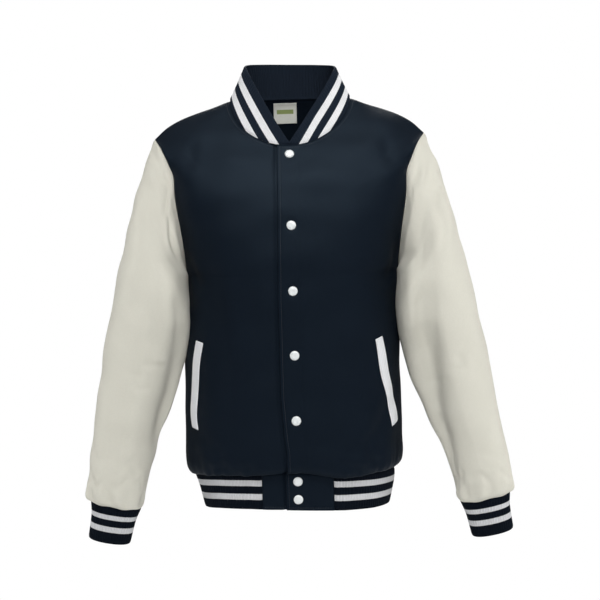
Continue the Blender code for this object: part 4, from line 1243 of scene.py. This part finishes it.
snapBoxes = [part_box(f"snap_{number}") for number in range(1, 8)]
snapPlaces = [(np.array(low) + np.array(high)) / 2 for low, high in snapBoxes]
shoulderLine, edgeStitch = ("end", body["topstitch"]), body["edgeStitch"]
panelEdges = {  # sewn borders, free borders and stitched lines
    "frontLeft": (("start", "end", "last"), ("first",),
                  (shoulderLine, ("first", edgeStitch), ("first", body["facingStitch"]))),
    "frontRight": (("start", "end", "first"), ("last",), (shoulderLine,)),
    "backPanel": (("start", "end", "first", "last"), (), (shoulderLine,)),
}
for number, (name, (sewn, free, lines)) in enumerate(panelEdges.items()):
    piece = pieces[name]
    distances, face = piece["distances"], piece["face"]
    height = foldHeights(distances, piece["points"][..., 2], body["folds"][face])
    height += foldHeights(distances, piece["points"][..., 2], body["creases"][face], body["wander"])
    height += gathers(piece, "start", body["gather"], number)
    if face == "front":
        height *= ramp(np.abs(distances), body["tab"], body["tab"] + body["tabCalm"])
    height += body["unevenness"] * waves(piece["points"], *body["waves"])
    height = height * seamCalm(piece, sewn) + stitchedChannel(piece, lines)
    if name == "frontRight":
        height += lapGroove(distances + np.array([lapAt(level) for level in fineLevels])[:, None])
    elif name == "frontLeft":
        height += snapDents(piece)
    makeCloth(piece, body, height, sewn, free)
for side in ("Left", "Right"):
    piece = pieces["sleeve" + side]
    height = sleeveFolds(piece, "folds") + sleeveFolds(piece, "creases", sleeve["wander"])
    height += gathers(piece, "end", sleeve["gather"], len(side))
    size, seed = sleeve["waves"]
    height += body["unevenness"] * waves(piece["points"], size, seed + len(side))
    makeCloth(piece, sleeve, height * seamCalm(piece, ("start", "end")), ("start", "end"))
    piece = pieces["cuff" + side]
    makeCloth(piece, cuff, ribProfile(piece, ("start",), "end"), ("start",), ("end",), piece["from"]["end"])
    piece = pieces["hemTab" + side]
    inside, outside = ("last", "first") if side == "Left" else ("first", "last")
    height = stitchedChannel(piece, (("start", edgeStitch), (outside, edgeStitch)))
    if side == "Left":
        height += snapDents(piece)
    else:
        height += lapGroove(piece["from"]["first"] - body["tab"] + body["lap"])
    makeCloth(piece, body, height, ("end", inside), ("start", outside))
piece, sewn = pieces["hemRib"], ("end", "first", "last")
makeCloth(piece, hem, ribProfile(piece, sewn, "start"), sewn, ("start",), piece["from"]["start"])
piece, free = pieces["collarRib"], ("end", "first", "last")
makeCloth(piece, collar, ribProfile(piece, ("start",), "end"), ("start",), free, collarEdge(piece))
print("cloth made")

# ---- welts, label, snaps and sewing

welt = {
    "cloth": ("whiteWelt", "white_rib", "laid"),
    "wall": 0.0016,
    "gap": 0.0003,
    "levels": (0.23, 0.67),
    "middle": {"Left": (0.715, 0.575), "Right": (0.760, 0.680)},   # lower and upper end, share of the row
    # small turns of each welt off a straight line, in metres round the body
    "sway": {
        "Left": table("level sway", (0.23, -0.0045), (0.33, -0.0035), (0.50, -0.0072), (0.67, -0.0048)),
        "Right": table("level sway", (0.23, -0.0140), (0.35, -0.0060), (0.52, -0.0040), (0.67, -0.0085))},
    "widths": {"Left": (0.0230, 0.0150), "Right": (0.0170, 0.0160)},  # lower and upper end
    "slant": {"Left": 1.0, "Right": 0.75},   # levels that the ends climb outwards, for each metre across
    "rows": 60,
    "columns": 25,
    "edgeColumns": (0, 0.004, 0.015, 0.03, 0.05, 0.08),    # shares of the width, closer at the edges
    "columnsFrom": 0.11,
    "ribs": 5,
    "ribRelief": 0.00015,
}

label = {
    "cloth": ("labelSatin", "label_satin", "laid"),
    "width": 0.039,
    "drop": 0.033,
    "wall": 0.0006,
    "top": -0.0025,
    "middle": -0.006,
    "edge": (0, 0.0001, 0.0003, 0.0006),   # columns and rows at its edges
    "evenFrom": 0.0015,
    "columns": 22,
    "rows": 18,
    "gap": 0.0004,
    "loose": 0.0012,       # the lower edge stands off the cloth, unevenly
    "looseShare": 1 / 1.4,
    "sway": (5.0, 0.8, 0.6),   # turn and offset of the unevenness, and its part
}

snap = {
    "profile": table(
        "radius  height",
        (0.0012, 0.00262),
        (0.0026, 0.00285),
        (0.0036, 0.00290),
        (0.0048, 0.00272),
        (0.0062, 0.00210),
        (0.0071, 0.00130),
        (0.0075, 0.00060),
        (0.0074, 0.00015),
        (0.0066, -0.00020)),
    "top": 0.00256,        # the middle is slightly dished
    "segments": 48,
    "sharpFrom": 50,       # degrees between faces from which an edge is sharp
}

thread = {
    "stitch": 0.0030,
    "gap": 0.0010,
    "radius": 0.00034,
    "rings": 5,
    "sides": 6,
    "arch": (1.1, 0.6),    # a stitch rises by the first and starts below the cloth by the second
    "thickness": (0.45, 0.55),     # at its ends and what it gains, all in radii
    "margin": 0.0030,      # free of stitches at the ends of a line
    "weltMargin": 0.0022,
    "labelMargin": 0.0016,
    "weltSides": 0.0018,   # distances of the lines from the edges
    "weltEnds": 0.0022,
    "labelEdge": 0.0015,
}


def placeOn(piece, levels, distances):  # finished outer surface at these levels and distances round
    found = np.zeros(levels.shape + (3,))
    at = np.interp(levels, fineLevels, np.arange(len(fineLevels)))
    for place in np.ndindex(levels.shape):
        low = min(int(at[place]), len(fineLevels) - 2)
        pair = [[np.interp(distances[place], piece["distances"][row], piece["outer"][row, :, i])
                 for i in range(3)] for row in (low, low + 1)]
        found[place] = np.array(pair[0]) + np.subtract(pair[1], pair[0]) * (at[place] - low)
    return found


def makePatch(name, base, settings, raised, carrier):
    piece = {"name": name, "points": base, "wrap": False, "restsOn": [nodeOf(carrier)]}
    edgeDistances(piece)
    piece["shared"] = gridNormals(base)
    wall = settings["wall"]
    thicken(piece, settings, raised + wall / 2, roundedHalf(piece, wall, piece["from"]))
    pieces[name] = piece


def makeWelt(side):
    outwards = 1 if side == "Left" else -1
    near, start = np.array(welt["edgeColumns"]), welt["columnsFrom"] - 0.5
    edge = np.concatenate((near - 0.5, np.linspace(start, -start, welt["columns"]), 0.5 - near[::-1]))
    levels, distances = [], []
    for level in np.linspace(*welt["levels"], welt["rows"]):
        length = runLengths(halfRow(level, "front"))[-1]
        middle = length * np.interp(level, welt["levels"], welt["middle"][side])
        middle += lookUp(welt["sway"][side], level)[0]
        across = edge * np.interp(level, welt["levels"], welt["widths"][side])
        distances.append(across + middle * outwards)
        levels.append(level + welt["slant"][side] * across * outwards)
    base = placeOn(pieces["front" + side], np.array(levels), np.array(distances))
    ribs = welt["ribRelief"] * np.cos(2 * math.pi * welt["ribs"] * edge)
    makePatch("welt" + side, base, welt, welt["gap"] + ribs + 0 * base[..., 0], "front" + side)


def castOn(points, surface, direction):  # where each point meets the surface along one direction
    hits = [surface.ray_cast(Vector(point), Vector(direction))[0] for point in points.reshape(-1, 3)]
    return np.array(hits).reshape(points.shape)


def gridTree(points):
    rows, columns = points.shape[:2]
    index = np.arange(rows * columns).reshape(rows, columns)
    quads = np.stack([index[:-1, :-1], index[:-1, 1:], index[1:, 1:], index[1:, :-1]], axis=-1)
    return BVHTree.FromPolygons(points.reshape(-1, 3).tolist(), quads.reshape(-1, 4).tolist())


def labelPlaces(size, count):  # from 0 to the size, closer together at both ends
    near, start = np.array(label["edge"]), label["evenFrom"]
    return np.concatenate((near, np.linspace(start, size - start, count), size - near[::-1]))


def makeLabel():
    across, up = labelPlaces(label["width"], label["columns"]), labelPlaces(label["drop"], label["rows"])
    starts = np.zeros((len(up), len(across), 3))
    starts[..., 0] = label["middle"] - label["width"] / 2 + across
    starts[..., 2] = (label["top"] - label["drop"] + up)[:, None]
    base = castOn(starts, gridTree(pieces["backPanel"]["inner"]), (0, 1, 0))
    turn, offset, part = label["sway"]
    sway = 1 - part / 2 + part / 2 * np.sin(across / label["width"] * turn + offset)
    loose = 1 - ramp(up / label["drop"], 0, label["looseShare"])[:, None]
    makePatch("neckLabel", base, label, label["gap"] + label["loose"] * loose * sway, "backPanel")


def makeSnap(number, carrier):
    x, _, z = snapPlaces[number - 1]
    seat, normal = gridTree(carrier["outer"]).ray_cast(Vector((x, -1.0, z)), Vector((0, 1, 0)))[:2]
    turn = normal.to_track_quat("Z", "X")
    count, rings = snap["segments"], len(snap["profile"]["radius"])
    steps = np.arange(count) * 2 * math.pi / count
    points = [seat + turn @ Vector((0, 0, snap["top"]))]
    for radius, height in zip(*snap["profile"].values()):
        points += [seat + turn @ Vector((radius * math.cos(a), radius * math.sin(a), height)) for a in steps]
    sides = [(i, (i + 1) % count) for i in range(count)]
    faces = [(0, 1 + i, 1 + j) for i, j in sides]
    for a in range(1, 1 + (rings - 1) * count, count):
        faces += [(a + i, a + count + i, a + count + j, a + j) for i, j in sides]
    faces.append(range(rings * count, (rings - 1) * count, -1))
    made = meshObject(f"snap{number}", points, faces, "whiteEnamel")
    made.data.set_sharp_from_angle(angle=math.radians(snap["sharpFrom"]))
    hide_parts(f"snap_{number}")


def insetLine(piece, border, distance):  # points and normals at one distance from a border
    away, values = piece["from"][border], np.concatenate((piece["outer"], piece["shared"]), axis=2)
    if border in ("start", "end"):
        away, values = away.T, values.swapaxes(0, 1)
    if border in ("end", "last"):
        away, values = away[:, ::-1], values[:, ::-1]
    line = np.array([[np.interp(distance, a, v[:, i]) for i in range(6)] for a, v in zip(away, values)])
    return line[:, :3], line[:, 3:]


def makeStitch(spine, normal):  # points of one stitch, a tube that arches over its line
    t = np.linspace(-1, 1, thread["rings"])
    turns = np.arange(thread["sides"]) * 2 * math.pi / thread["sides"]
    aside = unit(np.cross(unit(np.gradient(spine, axis=0)), normal))
    (rise, sink), (least, more) = thread["arch"], thread["thickness"]
    spine = spine + normal * (thread["radius"] * (rise * np.sqrt(1 - t ** 2) - sink))[:, None]
    thick = (thread["radius"] * (least + more * np.sqrt(1 - t ** 4)))[:, None]
    ring = (spine[:, None] + aside[:, None] * (thick * np.cos(turns))[..., None]
            + normal[:, None] * (thick * np.sin(turns))[..., None])
    return ring.reshape(-1, 3)


def sewLines(name, piece, lines, finish, margin):  # separate stitches along inset lines, as one object
    points, faces = [], []
    count, pitch = thread["sides"], thread["stitch"] + thread["gap"]
    sides, size = [(i, (i + 1) % count) for i in range(count)], thread["rings"] * count
    for path, normals in (insetLine(piece, *line) for line in lines):
        run = runLengths(path)
        stitches = int((run[-1] - 2 * margin) / pitch)
        for start in run[-1] / 2 - stitches * pitch / 2 + np.arange(stitches) * pitch:
            at = start + thread["gap"] / 2 + np.linspace(0, thread["stitch"], thread["rings"])
            first = len(points) * size
            points.append(makeStitch(sampled(path, at, run), unit(sampled(normals, at, run))))
            last = first + size - count
            for a in range(first, last, count):
                faces += [(a + i, a + j, a + count + j, a + count + i) for i, j in sides]
            faces += [range(first + count - 1, first - 1, -1), range(last, last + count)]
    made = meshObject(name, np.concatenate(points).tolist(), faces, finish)
    piece.setdefault("sewing", []).append(made)


for side in ("Left", "Right"):
    makeWelt(side)
makeLabel()
for number in range(1, 8):
    makeSnap(number, pieces["frontLeft" if number < 6 else "hemTabLeft"])
print("welts, label and snaps made")

weltLines = [("first", thread["weltSides"]), ("last", thread["weltSides"]),
             ("start", thread["weltEnds"]), ("end", thread["weltEnds"])]
labelLines = [(border, thread["labelEdge"]) for border in ("first", "last", "end")]
sewing = {  # the piece, its lines, their thread and the margin at their ends
    "FrontLeft": ("frontLeft", [("first", edgeStitch), shoulderLine], "navyThread", "margin"),
    "FrontRight": ("frontRight", [shoulderLine], "navyThread", "margin"),
    "Back": ("backPanel", [shoulderLine], "navyThread", "margin"),
    "TabLeft": ("hemTabLeft", [("start", edgeStitch), ("first", edgeStitch)], "navyThread", "margin"),
    "WeltLeft": ("weltLeft", weltLines, "whiteThread", "weltMargin"),
    "TabRight": ("hemTabRight", [("start", edgeStitch), ("last", edgeStitch)], "navyThread", "margin"),
    "WeltRight": ("weltRight", weltLines, "whiteThread", "weltMargin"),
    "Label": ("neckLabel", labelLines, "whiteThread", "labelMargin"),
}
for name, (carrier, lines, finish, margin) in sewing.items():
    sewLines("sewing" + name, pieces[carrier], lines, finish, thread[margin])
print("sewn")


# ---- floor, light and camera

studio = {
    "floorHeight": -1.42,      # as on a figure that stands on it
    "floorRadius": 2.9,
    "floorSides": 96,
    "floorRoughness": 0.8,
    "floorNoise": (3.0, 3.0),  # scale and detail
    "floorColours": ((0.86, 0.86, 0.86, 1), (0.90, 0.90, 0.90, 1)),
    # soft room light: from one height of its direction to another, and its strength at both
    "sky": (-0.1, 0.9, 0.08, 0.30),
    "lamps": {                 # place, aim, size, watts, and whether diffuse and glossy light shows it
        "keyLamp": ((0.1, -2.2, 2.3), (0.0, 0.0, -0.20), 1.0, 50, True, True),
        "glossLampRight": ((0.9, -2.2, 2.4), (0.0, 0.0, -0.20), 1.2, 80, False, True),
        "glossLampLeft": ((-0.7, -1.9, 2.6), (0.0, 0.0, -0.20), 1.2, 54, False, True),
        "leftLamp": ((-3.0, 0.0, 0.1), (0.0, 0.0, -0.40), 1.4, 27, True, False),
        "rightLamp": ((3.0, -0.2, 0.1), (0.0, 0.0, -0.40), 1.4, 36, True, False),
        "frontLamp": ((0.3, -3.3, 0.5), (0.0, 0.0, -0.30), 1.4, 36, True, False),
        "backLamp": ((0.3, 2.6, 1.6), (0.0, 0.0, -0.20), 1.6, 60, True, True),
    },
    "cameraPlace": (0.0108, -3.1, -0.3353),
    "cameraRoll": -1.5,
    "lens": 112.7,
}


def makeStudio():
    bpy.ops.mesh.primitive_circle_add(vertices=studio["floorSides"], radius=studio["floorRadius"],
                                      fill_type="NGON", location=(0, 0, studio["floorHeight"]))
    floor = bpy.context.active_object
    floor.name = "studioFloor"
    material, tree, shader = startMaterial("paleFloor", studio["floorRoughness"])
    colour = mixColours(tree, noiseOf(tree, *studio["floorNoise"]), *studio["floorColours"])
    tree.links.new(colour, shader.inputs["Base Color"])
    floor.data.materials.append(material)
    for name, (place, aim, size, watts, diffuse, glossy) in studio["lamps"].items():
        lamp = bpy.data.lights.new(name, "AREA")
        lamp.shape, lamp.size, lamp.energy = "DISK", size, watts
        holder = bpy.data.objects.new(name, lamp)
        holder.location = place
        holder.visible_diffuse, holder.visible_glossy = diffuse, glossy
        holder.rotation_euler = (Vector(aim) - Vector(place)).to_track_quat("-Z", "Y").to_euler()
        bpy.context.scene.collection.objects.link(holder)
    world = bpy.data.worlds.new("softRoom")
    bpy.context.scene.world = world
    world.use_nodes = True
    tree = world.node_tree
    backdrop = tree.nodes["Background"]
    backdrop.inputs["Color"].default_value = (1, 1, 1, 1)
    seen = addNode(tree, "ShaderNodeLightPath").outputs["Is Camera Ray"]
    direction = addNode(tree, "ShaderNodeTexCoord").outputs["Generated"]
    towards = addNode(tree, "ShaderNodeSeparateXYZ", {0: direction})
    sky = mapRange(tree, towards.outputs[2], *studio["sky"], interpolation_type="SMOOTHSTEP")
    tree.links.new(calculate(tree, "MAXIMUM", seen, sky), backdrop.inputs["Strength"])
    camera = bpy.data.cameras.new("frontCamera")
    camera.lens, camera.sensor_width = studio["lens"], 36
    holder = bpy.data.objects.new("frontCamera", camera)
    roll = Matrix.Rotation(math.radians(studio["cameraRoll"]), 4, "Z")
    turn = Matrix.Rotation(math.radians(90), 4, "X") @ roll
    holder.matrix_world = Matrix.Translation(studio["cameraPlace"]) @ turn
    bpy.context.scene.collection.objects.link(holder)
    bpy.context.scene.camera = holder
    bpy.context.scene.view_settings.view_transform = "Standard"


makeStudio()
print("studio lit")


for piece in pieces.values():
    flat, area = patternSize(piece)
    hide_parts(nodeOf(piece["name"]))
    print(piece["name"], flat, area)
